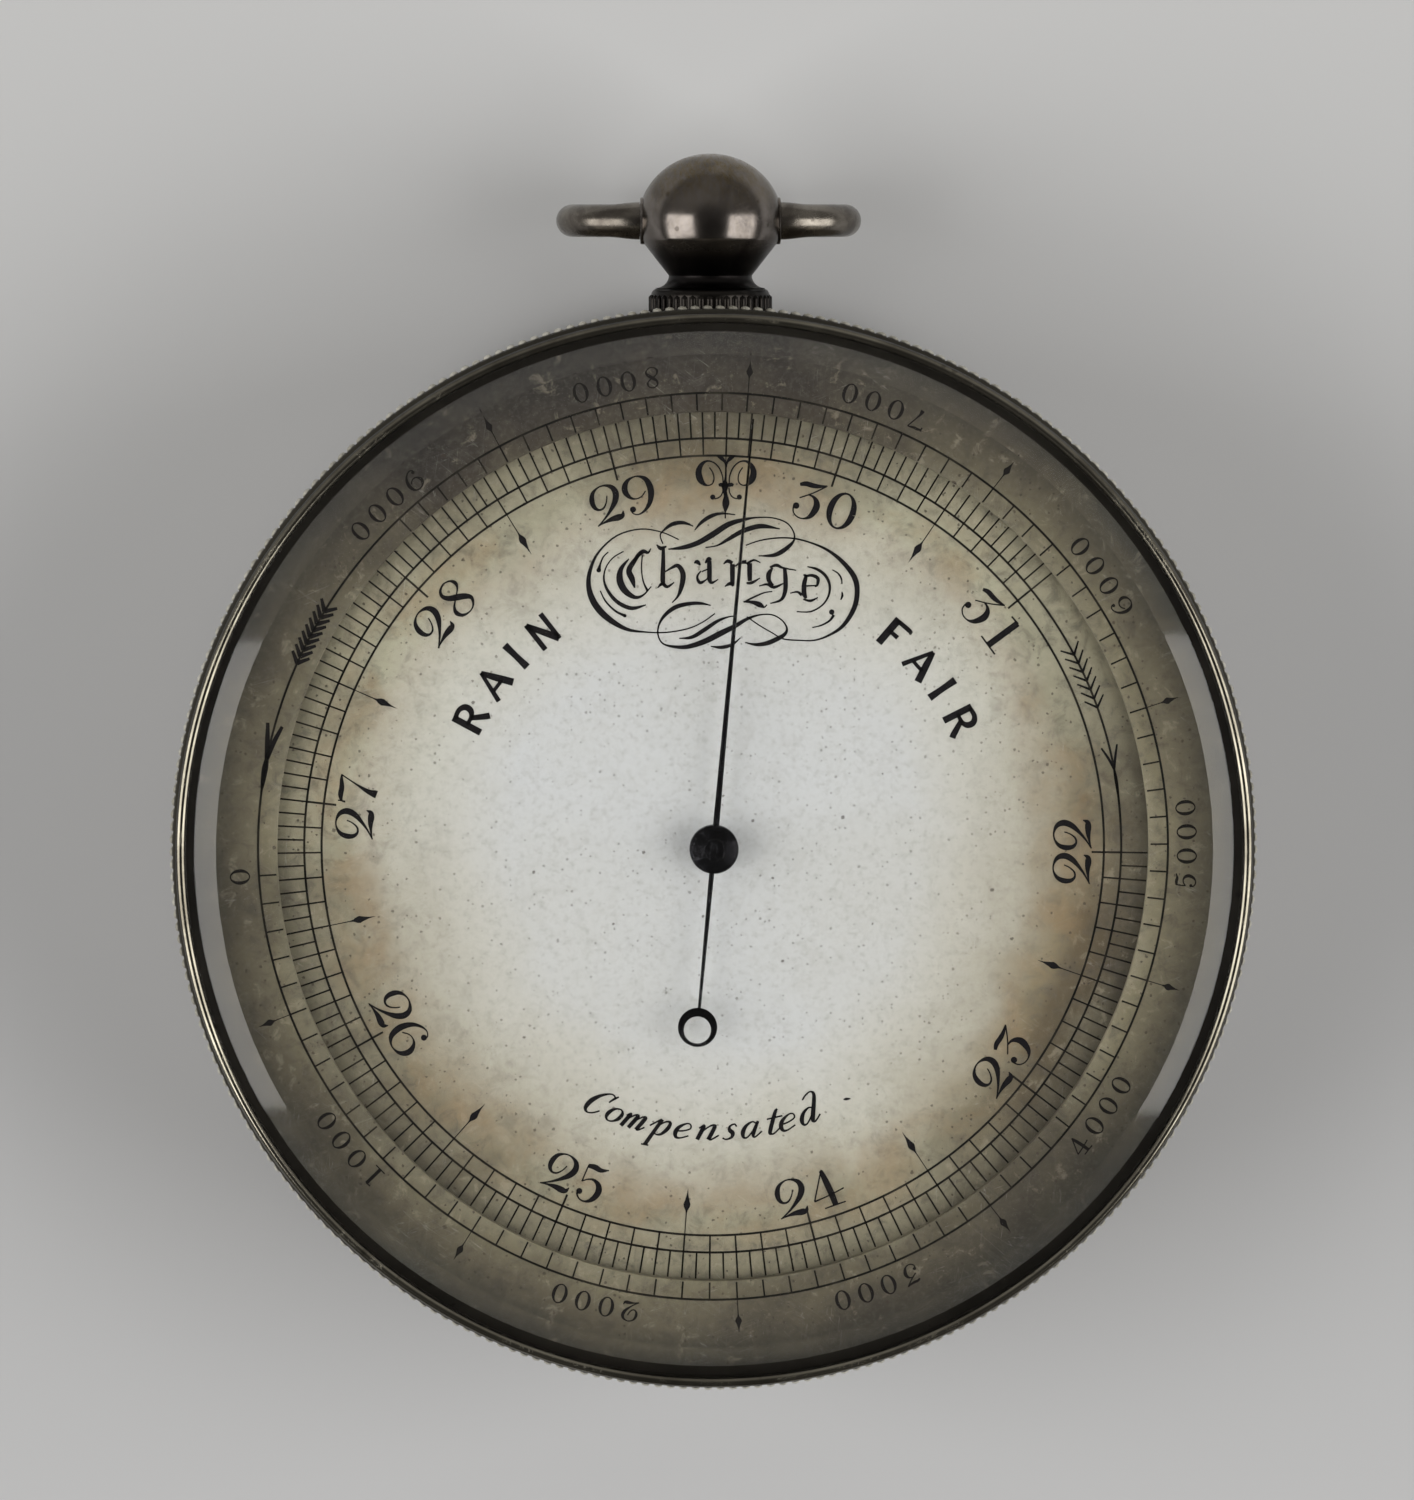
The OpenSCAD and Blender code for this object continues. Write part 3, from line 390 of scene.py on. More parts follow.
def effect(name, takes, gives, build):
    """A shader group: takes has each input's start value, gives has each output's kind."""
    tree = bpy.data.node_groups.new(name, "ShaderNodeTree")
    for socket, value in takes.items():
        made = tree.interface.new_socket(socket, in_out="INPUT", socket_type=SOCKETS[type(value)])
        made.default_value = value
    for socket, kind in gives.items():
        tree.interface.new_socket(socket, in_out="OUTPUT", socket_type=SOCKETS[kind])
    wiring = Wiring(tree)
    start = wiring.put("NodeGroupInput")
    results = build(wiring, {s.name: s for s in start.outputs if s.name})
    end = wiring.put("NodeGroupOutput")
    for socket, result in results.items():
        tree.links.new(result, end.inputs[socket])
    return tree


def build_round_place(w, feeds):
    """Radius in millimetres, and the turn clockwise from the pendant as 0 to 1."""
    x, y, _ = w.parts(w.place())
    square = w.plus(w.times(x, x), w.times(y, y))
    turn = w.maths("DIVIDE", w.maths("ARCTAN2", x, y), 2 * math.pi)
    return {"Radius": w.times(w.maths("SQRT", square), 1 / MM),
            "Turn": w.maths("FRACT", w.plus(turn, 1.0))}


def build_blotches(w, feeds):
    """Soft patches, where a cloud rises from Low to High."""
    cloud = w.noise(w.place(), feeds["Scale"], 6.0, 0.62, warp=0.4)
    return {"Mask": w.remap(cloud, feeds["Low"], feeds["High"])}


def build_specks(w, feeds):
    """Small uneven spots, one in each cell that is picked."""
    spots = w.put("ShaderNodeTexVoronoi", {"Vector": w.place(), "Scale": feeds["Scale"]})
    pick = w.put("ShaderNodeSeparateColor", {0: spots.outputs["Color"]}).outputs[0]
    size = w.times(w.remap(pick, feeds["Rarity"], 1.0, curve="LINEAR"), feeds["Size"])
    ragged = w.noise(w.place(), w.times(feeds["Scale"], 2.2), 3.0, 0.7)
    uneven = w.remap(ragged, 0.3, 0.7, -0.16, 0.16, "LINEAR")
    inside = w.minus(w.plus(size, w.times(uneven, size)), spots.outputs["Distance"])
    inside = w.plus(inside, w.times(uneven, 0.4))
    there = w.maths("GREATER_THAN", size, 0.02)
    return {"Mask": w.times(w.remap(inside, 0.0, 0.08), there)}


def build_hairlines(w, feeds):
    """Fine scratches in three directions, bent a little."""
    total = None
    for turn, offset in ((0.35, 0.5), (1.45, 0.47), (2.5, 0.53)):
        cloud = w.noise(w.place(), feeds["Scale"], 2.0, 0.5, (1.0, 0.045, 1.0), turn, 0.15)
        line = w.remap(w.absolute(w.minus(cloud, offset)), 0.0, feeds["Width"], 1.0, 0.0)
        total = line if total is None else w.maths("MAXIMUM", total, line)
    broken = w.remap(w.noise(w.place(), 420.0, 2.0), 0.5, 0.62)
    return {"Mask": w.times(total, broken)}


def build_old_metal(w, feeds):
    """Colour, roughness and small relief of a polished metal with age on it."""
    cloud = w.noise(w.place(), feeds["Scale"], 7.0, 0.62, warp=0.6)
    fine = w.noise(w.place(), w.times(feeds["Scale"], 9.0), 4.0, 0.6)
    rubbed = w.remap(fine, 0.56, 0.74)
    film = w.times(w.remap(cloud, 0.34, 0.68), w.between(rubbed, 1.0, 0.55))
    lines = w.mask(hairlines, Scale=160.0, Width=0.006)
    spots = w.mask(specks, Scale=1500.0, Rarity=0.8, Size=0.34)
    colour = w.stain(feeds["Bright"], film, feeds["Tarnish"], feeds["Dark"])
    colour = w.stain(colour, lines, 0.3, feeds["Bright"])
    colour = w.stain(colour, spots, 0.55, feeds["Dark"])
    rough = w.plus(feeds["Polish"], w.times(film, 0.07), w.times(fine, 0.06), w.times(lines, 0.06))
    height = w.minus(w.times(fine, 0.25), w.times(lines, 0.25))
    return {"Color": colour, "Roughness": rough, "Height": height}


MASK = {"Mask": float}
round_place = effect("round_place", {}, {"Radius": float, "Turn": float}, build_round_place)
blotches = effect("blotches", {"Scale": 60.0, "Low": 0.4, "High": 0.65}, MASK, build_blotches)
specks = effect("specks", {"Scale": 900.0, "Rarity": 0.7, "Size": 0.3}, MASK, build_specks)
hairlines = effect("hairlines", {"Scale": 120.0, "Width": 0.01}, MASK, build_hairlines)
old_metal = effect(
    "old_metal",
    {"Bright": [0.5] * 3 + [1.0], "Dark": [0.1] * 3 + [1.0], "Scale": 90.0, "Tarnish": 0.8,
     "Polish": 0.12},
    {"Color": list, "Roughness": float, "Height": float},
    build_old_metal,
)


# Materials

def new_material(name):
    made = bpy.data.materials.new(name)
    made.use_nodes = True
    made.node_tree.nodes.clear()
    return made, Wiring(made.node_tree)


def finish_surface(w, colour, rough, metallic=1.0, height=None, depth=0.012, strength=0.5, **more):
    """Ends a material in one Principled shader, with an optional relief of depth millimetres."""
    feeds = {"Base Color": colour, "Metallic": metallic, "Roughness": rough}
    feeds.update({name.replace("_", " "): value for name, value in more.items()})
    if height is not None:
        feeds["Normal"] = w.relief(height, depth, strength)
    shader = w.put("ShaderNodeBsdfPrincipled", feeds)
    w.put("ShaderNodeOutputMaterial", {"Surface": shader.outputs[0]})


def finish_half_clear(w, share, feeds):
    """Ends a material in a Principled shader that gives way to clear as far as share."""
    shader = w.put("ShaderNodeBsdfPrincipled", feeds)
    clear = w.put("ShaderNodeBsdfTransparent")
    both = w.put("ShaderNodeMixShader", {0: share, 1: shader.outputs[0], 2: clear.outputs[0]})
    w.put("ShaderNodeOutputMaterial", {"Surface": both.outputs[0]})


def aged(w, bright, dark, tarnish, polish, scale):
    return w.group(old_metal, Bright=bright, Dark=dark, Tarnish=tarnish, Polish=polish, Scale=scale)


def make_metal(name, *ageing):
    made, w = new_material(name)
    skin = aged(w, *ageing)
    finish_surface(w, skin["Color"], skin["Roughness"], height=skin["Height"])
    return made


# Colours of the silvered face by radius, where it has kept its tone and where it is stained. Towards the
# edge both darken, partly real browning and partly painted shade from the bezel
FACE_SPAN = 31.0
FACE_CLEAN = ((0.0, "c6cacb"), (12.0, "c5c9ca"), (15.0, "c4c6c1"), (18.0, "c1c2b8"), (20.4, "b5b2a2"),
              (22.0, "a8a790"), (23.8, "97947d"), (25.2, "8a866f"), (26.5, "807c67"))
FACE_STAINED = ((0.0, "c3c7c8"), (12.0, "c0c2be"), (15.0, "b9b8ad"), (18.0, "a5a190"),
                (20.4, "867c62"), (22.0, "5e543e"), (23.8, "504733"), (25.2, "484233"),
                (26.5, "433d30"))
RING_CLEAN = ((25.7, "87826b"), (26.7, "79735a"), (27.4, "716b55"), (28.4, "66604c"),
              (29.4, "5a5646"), (30.6, "464740"))
RING_STAINED = ((25.7, "352f22"), (26.7, "2e281c"), (27.4, "28231a"), (28.4, "25211a"),
                (29.4, "211f19"), (30.6, "22211d"))
# How stained the face is, by degrees clockwise from the pendant
FACE_STAIN = ((0, 0.7), (28, 0.2), (60, 0.2), (88, 0.95), (112, 1.0), (132, 0.7), (150, 0.5),
              (172, 0.2), (195, 0.4), (215, 0.6), (240, 0.65), (262, 0.45), (283, 0.1), (300, 0.1),
              (335, 0.35), (360, 0.7))
RING_STAIN = ((0, 0.95), (15, 0.95), (38, 0.6), (60, 0.4), (85, 0.1), (110, 0.0), (130, 0.6),
              (152, 0.55), (172, 0.5), (213, 0.25), (248, 0.45), (285, 0.25), (312, 0.8), (325, 1.0),
              (345, 1.0), (360, 0.95))


def make_silvered(name, clean_tones, stained_tones, stain_round):
    """Matt silvering that has browned from the edge inwards, and is painted darker towards the edge partly
    as painted shade from the bezel, with specks and fine scratches.
    """
    made, w = new_material(name)
    at = w.group(round_place)
    cloud = w.noise(w.place(), 130.0, 5.0, 0.6)
    radius = w.plus(at["Radius"], w.remap(cloud, 0.2, 0.8, -1.0, 1.0, "LINEAR"))
    share = w.maths("DIVIDE", radius, FACE_SPAN)
    clean = w.ramp(share, [(r / FACE_SPAN, c) for r, c in clean_tones])
    stained = w.ramp(share, [(r / FACE_SPAN, c) for r, c in stained_tones])
    stain = w.ramp(at["Turn"], [(a / 360.0, v) for a, v in stain_round], grey=True)
    patch = w.mask(blotches, Scale=95.0, Low=0.3, High=0.72)
    stain = w.plus(stain, w.times(w.minus(patch, 0.5), 0.5))
    stain = w.maths("MINIMUM", w.maths("MAXIMUM", stain, 0.0), 1.0)
    colour = w.blend(stain, clean, stained)
    # Warm brown halo where the darker edge begins
    away = w.absolute(w.minus(radius, w.between(stain, 22.4, 20.6)))
    warm = w.mask(blotches, Scale=210.0, Low=0.42, High=0.66)
    halo = w.times(w.remap(away, 0.0, 3.2, 1.0, 0.0), warm)
    colour = w.stain(colour, halo, 0.55, "8a7352")
    # Fine mottle all over, that grows coarser and stronger towards the edge
    edge = w.remap(radius, 13.0, 25.0)
    dapple = w.noise(w.place(), 900.0, 5.0, 0.7, warp=0.5)
    mottle = w.blend(edge, "8a8779", "3f3a32")
    colour = w.stain(colour, w.remap(dapple, 0.46, 0.72), w.between(edge, 0.12, 0.55), mottle)
    colour = w.stain(colour, w.remap(dapple, 0.44, 0.3), w.between(edge, 0.0, 0.22), "b9b09a")
    grain = w.noise(w.place(), 2600.0, 4.0, 0.75)
    colour = w.blend(w.remap(grain, 0.45, 0.8, 0.0, 0.3), colour, "6d6a60")
    # Brown specks, single ones in the middle and crowded at the edge
    fine = w.mask(specks, Scale=3600.0, Rarity=0.72, Size=0.36)
    colour = w.stain(colour, fine, w.between(edge, 0.42, 0.75), "3d352a")
    coarse = w.mask(specks, Scale=1700.0, Rarity=0.93, Size=0.24)
    colour = w.stain(colour, coarse, 0.68, "352b20")
    lines = w.mask(hairlines, Scale=75.0, Width=0.004)
    colour = w.stain(colour, lines, 0.12, "e2e1da")
    height = w.minus(w.times(grain, 0.6), w.times(lines, 0.5))
    finish_surface(w, colour, w.between(stain, 0.58, 0.7), 0.12, height, 0.01, 0.35)
    return made


def make_ink(name, tone, worn_tone, share, wear, outer_tone=None):
    """Black engraver's wax, worn in patches, and browner at the edge of the face."""
    made, w = new_material(name)
    worn = w.mask(blotches, **wear)
    colour = w.stain(tone, worn, share, worn_tone)
    if outer_tone:
        outer = w.remap(w.group(round_place)["Radius"], 26.0, 27.5)
        colour = w.stain(colour, outer, 0.35, outer_tone)
    finish_surface(w, colour, w.remap(worn, 0.0, 1.0, 0.6, 0.75), 0.0, Specular_IOR_Level=0.1)
    return made


def make_glass():
    """Clear glass with a less even bevel, which lets the lamps through to the dial."""
    made, w = new_material("bevelled_glass")
    smear = w.remap(w.noise(w.place(), 60.0, 3.0), 0.3, 0.8, 0.0, 0.02)
    radius = w.group(round_place)["Radius"]
    ground = w.remap(radius, GLASS_FLAT_R, GLASS_FLAT_R + 0.15, 0.0, 0.06)
    wave = w.noise(w.place(), 90.0, 1.0)
    lamp = w.put("ShaderNodeLightPath").outputs["Is Shadow Ray"]
    finish_half_clear(w, lamp, {
        "Base Color": "fefdfd", "Roughness": w.plus(smear, ground), "IOR": 1.5,
        "Transmission Weight": 1.0, "Normal": w.relief(wave, 0.01, 0.08)})
    return made


def make_milling_metal():
    """The milled teeth: roots painted dark as painted shade between the teeth, and tips painted bright,
    partly wear and partly painted highlight.
    """
    made, w = new_material("milled_edge")
    skin = aged(w, "e6e3d6", "96917f", 0.7, 0.3, 140.0)
    radius = w.group(round_place)["Radius"]
    # Painted shade at the roots and on the band's top, and a painted highlight, partly wear, towards the
    # tips
    tip = w.remap(radius, MILL_ROOT_R, MILL_ROOT_R + 0.5 * MILL_DEPTH)
    colour = w.blend(tip, "3b3830", skin["Color"])
    finish_surface(w, colour, w.between(tip, 0.6, skin["Roughness"]), 0.4, skin["Height"], 0.01)
    return made


def make_bezel_metal():
    """Bright along the bead's crest as a painted highlight line and on the skirt, and near-black beside the
    bead, partly tarnish and partly painted dark reflection.
    """
    made, w = new_material("bezel_silver")
    skin = aged(w, "aaa596", "5d584e", 0.8, 0.12, 110.0)
    away = w.absolute(w.minus(w.group(round_place)["Radius"], BEAD_MID_R))
    _, _, z = w.parts(w.place())
    skirt = w.remap(z, MILL_Z * MM, (MILL_Z - 0.25) * MM)
    # Painted highlight: the crest keeps the bright metal colour as a highlight line. Everywhere above the
    # skirt except the crest is painted near-black, partly tarnish and partly painted dark reflection
    bright = w.maths("MAXIMUM", w.remap(away, 0.15, 0.3, 1.0, 0.0), skirt)
    tarnish_and_painted_dark = w.blend(skin["Height"], "1b1a1c", "2a282a")
    colour = w.blend(bright, tarnish_and_painted_dark, skin["Color"])
    finish_surface(w, colour, skin["Roughness"], height=skin["Height"])
    return made


def make_pendant_metal():
    """The ball is browner on its far side, mottled like tarnish and partly a painted reflection of brown
    surroundings, and its neck is black with age.
    """
    made, w = new_material("pendant_silver")
    skin = aged(w, "807a76", "393431", 0.9, 0.13, 230.0)
    _, y, _ = w.parts(w.place())
    # Painted reflection, partly tarnish: the far side of the ball is painted browner, as the brown
    # surroundings it would reflect
    far = w.remap(y, BALL_Y * MM, (BALL_Y + BALL_R) * MM)
    brushed = w.noise(w.place(), 1500.0, 5.0, 0.75, (0.35, 1.0, 1.0), 0.3)
    brown = w.times(w.remap(brushed, 0.3, 0.7), w.between(far, 0.1, 0.85))
    colour = w.blend(brown, skin["Color"], "6b5c38")
    neck = w.remap(y, (CONE_Y + 0.5) * MM, (CONE_Y - 1.2) * MM)
    colour = w.stain(colour, neck, 0.92, "131113")
    rough = w.plus(skin["Roughness"], w.times(brown, 0.16), w.times(neck, 0.15))
    finish_surface(w, colour, rough, height=skin["Height"])
    return made


def make_blackened(name, tone, bloom_tone, polish):
    """Steel that was blued nearly black, with a faint lighter bloom."""
    made, w = new_material(name)
    bloom = w.mask(blotches, Scale=260.0, Low=0.35, High=0.8)
    lines = w.mask(hairlines, Scale=220.0, Width=0.01)
    colour = w.stain(tone, bloom, 0.5, bloom_tone)
    colour = w.stain(colour, lines, 0.3, "7d7f86")
    finish_surface(w, colour, w.plus(polish, w.times(bloom, 0.12)), 0.85, lines, 0.008, 0.3)
    return made


def make_brass(name, bright, dark, grain_turn, polish):
    """Brass with a straight grain from the stone and a thin lacquer."""
    made, w = new_material(name)
    skin = aged(w, bright, dark, 0.55, polish, 70.0)
    grain = w.noise(w.place(), 2400.0, 2.0, 0.6, (1.0, 0.02, 1.0), grain_turn)
    colour = w.blend(w.remap(grain, 0.3, 0.7, 0.0, 0.35), skin["Color"], dark)
    rough = w.plus(skin["Roughness"], w.times(grain, 0.14))
    finish_surface(w, colour, rough, height=grain, strength=0.4, Coat_Weight=0.25)
    return made


def make_soft_metal(name, bright, dark, polish, scale=900.0):
    """Drawn or rolled metal with an even, fine grain."""
    made, w = new_material(name)
    skin = aged(w, bright, dark, 0.5, polish, 120.0)
    grain = w.noise(w.place(), scale, 4.0, 0.6)
    rough = w.plus(skin["Roughness"], w.times(grain, 0.1))
    finish_surface(w, skin["Color"], rough, height=grain, depth=0.01, strength=0.3)
    return made


case_silver = make_metal("case_silver", "8a8378", "4b453c", 0.5, 0.16, 120.0)
bezel_silver = make_bezel_metal()
pendant_silver = make_pendant_metal()
bow_silver = make_metal("bow_silver", "8d877e", "4a443f", 0.85, 0.2, 260.0)
collar_silver = make_metal("collar_silver", "35322f", "121012", 0.9, 0.25, 240.0)
silvered_face = make_silvered("silvered_face", FACE_CLEAN, FACE_STAINED, FACE_STAIN)
silvered_ring = make_silvered("silvered_ring", RING_CLEAN, RING_STAINED, RING_STAIN)
black_wax = make_ink("black_wax", "0e0d10", "3a362c", 0.25,
                     {"Scale": 700.0, "Low": 0.5, "High": 0.8}, "2a2722")
engraved_line = make_ink("engraved_line", "12110f", "3f3b32", 0.6,
                         {"Scale": 420.0, "Low": 0.4, "High": 0.75})
bevelled_glass = make_glass()
milled_edge = make_milling_metal()
hand_black = make_blackened("hand_black", "0c0c0f", "1b1b22", 0.22)
plate_brass = make_brass("plate_brass", "c9a45c", "8a6a35", 0.4, 0.22)
bridge_brass = make_brass("bridge_brass", "d1ad66", "93733c", 1.5, 0.2)
turned_brass = make_brass("turned_brass", "d6b36b", "92703a", 0.0, 0.16)
nickel_silver = make_soft_metal("nickel_silver", "c4c0b4", "8f897c", 0.24)
spring_steel = make_soft_metal("spring_steel", "9b9ea3", "56585c", 0.2)
chain_steel = make_soft_metal("chain_steel", "7d7f84", "3e3f42", 0.3, 2500.0)
blued_steel = make_blackened("blued_steel", "131b45", "2a3a78", 0.2)
ring_grey = make_soft_metal("ring_grey", "2c2a26", "161513", 0.45)

# The finish of each node that stays as packed; the rest are turned brass
NODE_FINISH = {
    "dial": silvered_face, "glass_ring": ring_grey, "base_plate": plate_brass,
    "arbor_bridge": bridge_brass, "hairspring": blued_steel, "fusee_chain": chain_steel,
}
NODE_FINISH.update(dict.fromkeys(("capsule_lower", "capsule_upper"), nickel_silver))
NODE_FINISH.update(dict.fromkeys(
    ("main_spring", "compensating_strip", "knife_edge", "link_rod", "rocking_arbor", "hand_arbor"),
    spring_steel))
NODE_FINISH.update(dict.fromkeys(
    ("plate_screws", "spring_screws", "pivot_screws", "lever_screws", "rocker_cock_screws",
     "pillar_screws", "lower_cock_screw"), blued_steel))
for name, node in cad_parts.items():
    finish = NODE_FINISH.get(name, turned_brass)
    if node.material_slots:
        for slot in node.material_slots:
            slot.material = finish
    else:
        node.data.materials.append(finish)


# Geometry Nodes

def node_tree(name, takes):
    """A tree that takes a geometry and named inputs, and gives a geometry."""
    tree = bpy.data.node_groups.new(name, "GeometryNodeTree")
    tree.interface.new_socket("Geometry", in_out="INPUT", socket_type="NodeSocketGeometry")
    for socket, kind in takes.items():
        tree.interface.new_socket(socket, in_out="INPUT", socket_type=f"NodeSocket{kind}")
    tree.interface.new_socket("Geometry", in_out="OUTPUT", socket_type="NodeSocketGeometry")
    wiring = Wiring(tree)
    start = wiring.put("NodeGroupInput")
    return tree, wiring, {s.name: s for s in start.outputs if s.name}


def end_tree(w, geometry, material):
    real = w.put("GeometryNodeRealizeInstances", {"Geometry": geometry})
    dressed = w.put("GeometryNodeSetMaterial", {"Geometry": real.outputs[0], "Material": material})
    w.put("NodeGroupOutput", {"Geometry": dressed.outputs[0]})


def put_copies(w, points, instance, angle, size):
    """A copy of a shape on each point, turned round +Z."""
    facing = w.put("FunctionNodeAxisAngleToRotation", {"Axis": (0, 0, 1), "Angle": angle})
    return w.put("GeometryNodeInstanceOnPoints", {
        "Points": points, "Instance": instance, "Rotation": facing.outputs[0], "Scale": size}).outputs[0]


def ridge_ring_tree():
    """A ring of upright rounded ridges, laid round any axis."""
    tree, w, feeds = node_tree("ridge_ring", {
        "Count": "Int", "Ring Radius": "Float", "Foot": "Float", "Height": "Float", "Width": "Float",
        "Depth": "Float", "Centre": "Vector", "Turn": "Vector", "Material": "Material"})
    top = w.put("ShaderNodeCombineXYZ", {"Z": feeds["Height"]})
    line = w.put("GeometryNodeCurvePrimitiveLine", {"Start": (0, 0, 0), "End": top.outputs[0]})
    line = w.put("GeometryNodeResampleCurve", {"Curve": line.outputs[0], "Count": 9})
    # Full nearly to both ends, where the ridge rounds off
    along = w.put("GeometryNodeSplineParameter").outputs["Factor"]
    away = w.absolute(w.minus(w.times(along, 2.0), 1.0))
    fall = w.maths("SQRT", w.minus(1.002, w.maths("POWER", away, 14.0)))
    rim = w.put("GeometryNodeCurvePrimitiveCircle", {"Resolution": 8, "Radius": 1.0})
    ridge = w.put("GeometryNodeCurveToMesh", {"Curve": line.outputs[0], "Profile Curve": rim.outputs[0],
                                              "Scale": fall, "Fill Caps": True})
    ridge = w.put("GeometryNodeSetShadeSmooth", {"Geometry": ridge.outputs[0], "Shade Smooth": True})
    ring = w.put("GeometryNodeMeshCircle", {"Vertices": feeds["Count"], "Radius": feeds["Ring Radius"]})
    step = w.maths("DIVIDE", 2 * math.pi, feeds["Count"])
    angle = w.times(w.put("GeometryNodeInputIndex").outputs[0], step)
    half = w.times(feeds["Width"], 0.5)
    size = w.put("ShaderNodeCombineXYZ", {"X": feeds["Depth"], "Y": half, "Z": 1.0})
    copies = put_copies(w, ring.outputs[0], ridge.outputs[0], angle, size.outputs[0])
    lift = w.put("ShaderNodeCombineXYZ", {"Z": feeds["Foot"]})
    raised = w.put("GeometryNodeTransform", {"Geometry": copies, "Translation": lift.outputs[0]})
    laid = w.put("GeometryNodeTransform", {"Geometry": raised.outputs[0], "Translation": feeds["Centre"],
                                           "Rotation": feeds["Turn"]})
    end_tree(w, laid.outputs[0], feeds["Material"])
    return tree


def marks_tree():
    """One flat mark on each point, turned and sized by the point's own values."""
    tree, w, feeds = node_tree("marks_on_points", {"Mark": "Object", "Material": "Material"})
    mark = w.put("GeometryNodeObjectInfo", {"Object": feeds["Mark"]}).outputs["Geometry"]
    turn = w.put("GeometryNodeInputNamedAttribute", {"Name": "turn"}, data_type="FLOAT")
    size = w.put("GeometryNodeInputNamedAttribute", {"Name": "size"}, data_type="FLOAT_VECTOR")
    copies = put_copies(w, feeds["Geometry"], mark, turn.outputs[0], size.outputs[0])
    end_tree(w, copies, feeds["Material"])
    return tree


def grow(piece, tree, **values):
    """Runs a tree on a piece and keeps the mesh that comes out."""
    change = piece.modifiers.new("grow", "NODES")
    change.node_group = tree
    keys = {item.name: item.identifier for item in tree.interface.items_tree if item.in_out == "INPUT"}
    for name, value in values.items():
        change[keys[name.replace("_", " ")]] = value
    piece.update_tag()
    bpy.context.view_layer.update()
    settle(piece)
    return piece


def bare_object(name):
    piece = bpy.data.objects.new(name, bpy.data.meshes.new(name))
    scene.collection.objects.link(piece)
    return piece


ridge_ring = ridge_ring_tree()
marks_on_points = marks_tree()


# Case

def make_case():
    inner_r = BACK_EDGE_R - (CASE_R - CASE_IN)
    outer = [(0, 0)] + arc((CASE_R - BACK_EDGE_R, BACK_EDGE_R), BACK_EDGE_R, -90, 0, 20)
    outer += [(CASE_R, CASE_TOP, SHOULDER_EDGE), (SPIGOT_R, CASE_TOP), (SPIGOT_R, SNAP_Z - SNAP_HALF),
              (SPIGOT_R + SNAP_DEPTH, SNAP_Z, 0.2), (SPIGOT_R, SNAP_Z + SNAP_HALF),
              (SPIGOT_R, SPIGOT_TOP, EDGE)]
    inner = [(CASE_IN, SPIGOT_TOP, EDGE)]
    inner += arc((CASE_IN - inner_r, BACK_T + inner_r), inner_r, 0, -90, 12) + [(0, BACK_T)]
    case = make_piece("case_shell", turned(soften(outer + inner, 3)), case_silver)
    bosses = []
    for angle in (60, 180, 300):
        a = math.radians(angle)
        place = (BACK_BOSS_OUT * math.cos(a), BACK_BOSS_OUT * math.sin(a))
        bosses.append(peg(BACK_BOSS_R, BACK_T - 0.2, BACK_T + BACK_BOSS_H, place))
    shaped_by(case, bosses, "UNION")
    hole = peg(ADJUSTER_HOLE_R, -1, 3, (0, -ADJUSTER_OUT))
    stud = on_pendant(peg(STUD_R + STUD_PLAY, 28, 33))
    shaped_by(case, [hole, stud], "DIFFERENCE")
    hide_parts("case_body")
    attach(case, "case")


# Pendant and bow

def make_pendant():
    flare = FOOT_R - NECK_R
    low = math.degrees(math.asin((CONE_Y - BALL_Y) / BALL_R))
    wide = BALL_HALF_W / BALL_R
    profile = [(0, STUD_Y), (STUD_R, STUD_Y), (STUD_R, COLLAR_END), (FOOT_R, COLLAR_END, EDGE)]
    for k in range(1, 11):
        a = math.radians(9 * k)
        profile.append((FOOT_R - flare * math.sin(a),
                        COLLAR_END + (NECK_Y - COLLAR_END) * (1 - math.cos(a))))
    profile += [(wide * r, y) for r, y in arc((0, BALL_Y), BALL_R, low, 90, 48)]
    profile[-1] = (0, BALL_Y + BALL_R)
    ball = make_piece("pendant_ball_polished", on_pendant(turned(soften(profile), 128)), pendant_silver)
    boss = soften([(0, -BOSS_X), (BOSS_R, -BOSS_X, 0.1), (BOSS_R, BOSS_X, 0.1), (0, BOSS_X)], 3)
    shaped_by(ball, [across_ball(turned(boss, 64))], "UNION")
    # Holes for the pins, and flat faces on the bosses
    wide_of_boss, past_boss = 6, 8
    beyond = turned([(0, BOSS_X), (wide_of_boss, BOSS_X), (wide_of_boss, past_boss), (0, past_boss)], 48)
    holes = []
    for side in (-1, 1):
        pin_hole = peg(PIN_R + PIN_PLAY, -PIN_HALF, PIN_HALF)
        holes.append(across_ball(pin_hole, side * (BOSS_X - PIN_SHIFT)))
        holes.append(across_ball(beyond, 0.0, side))
    shaped_by(ball, holes, "DIFFERENCE")
    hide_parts("pendant_ball")
    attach(ball, "case")


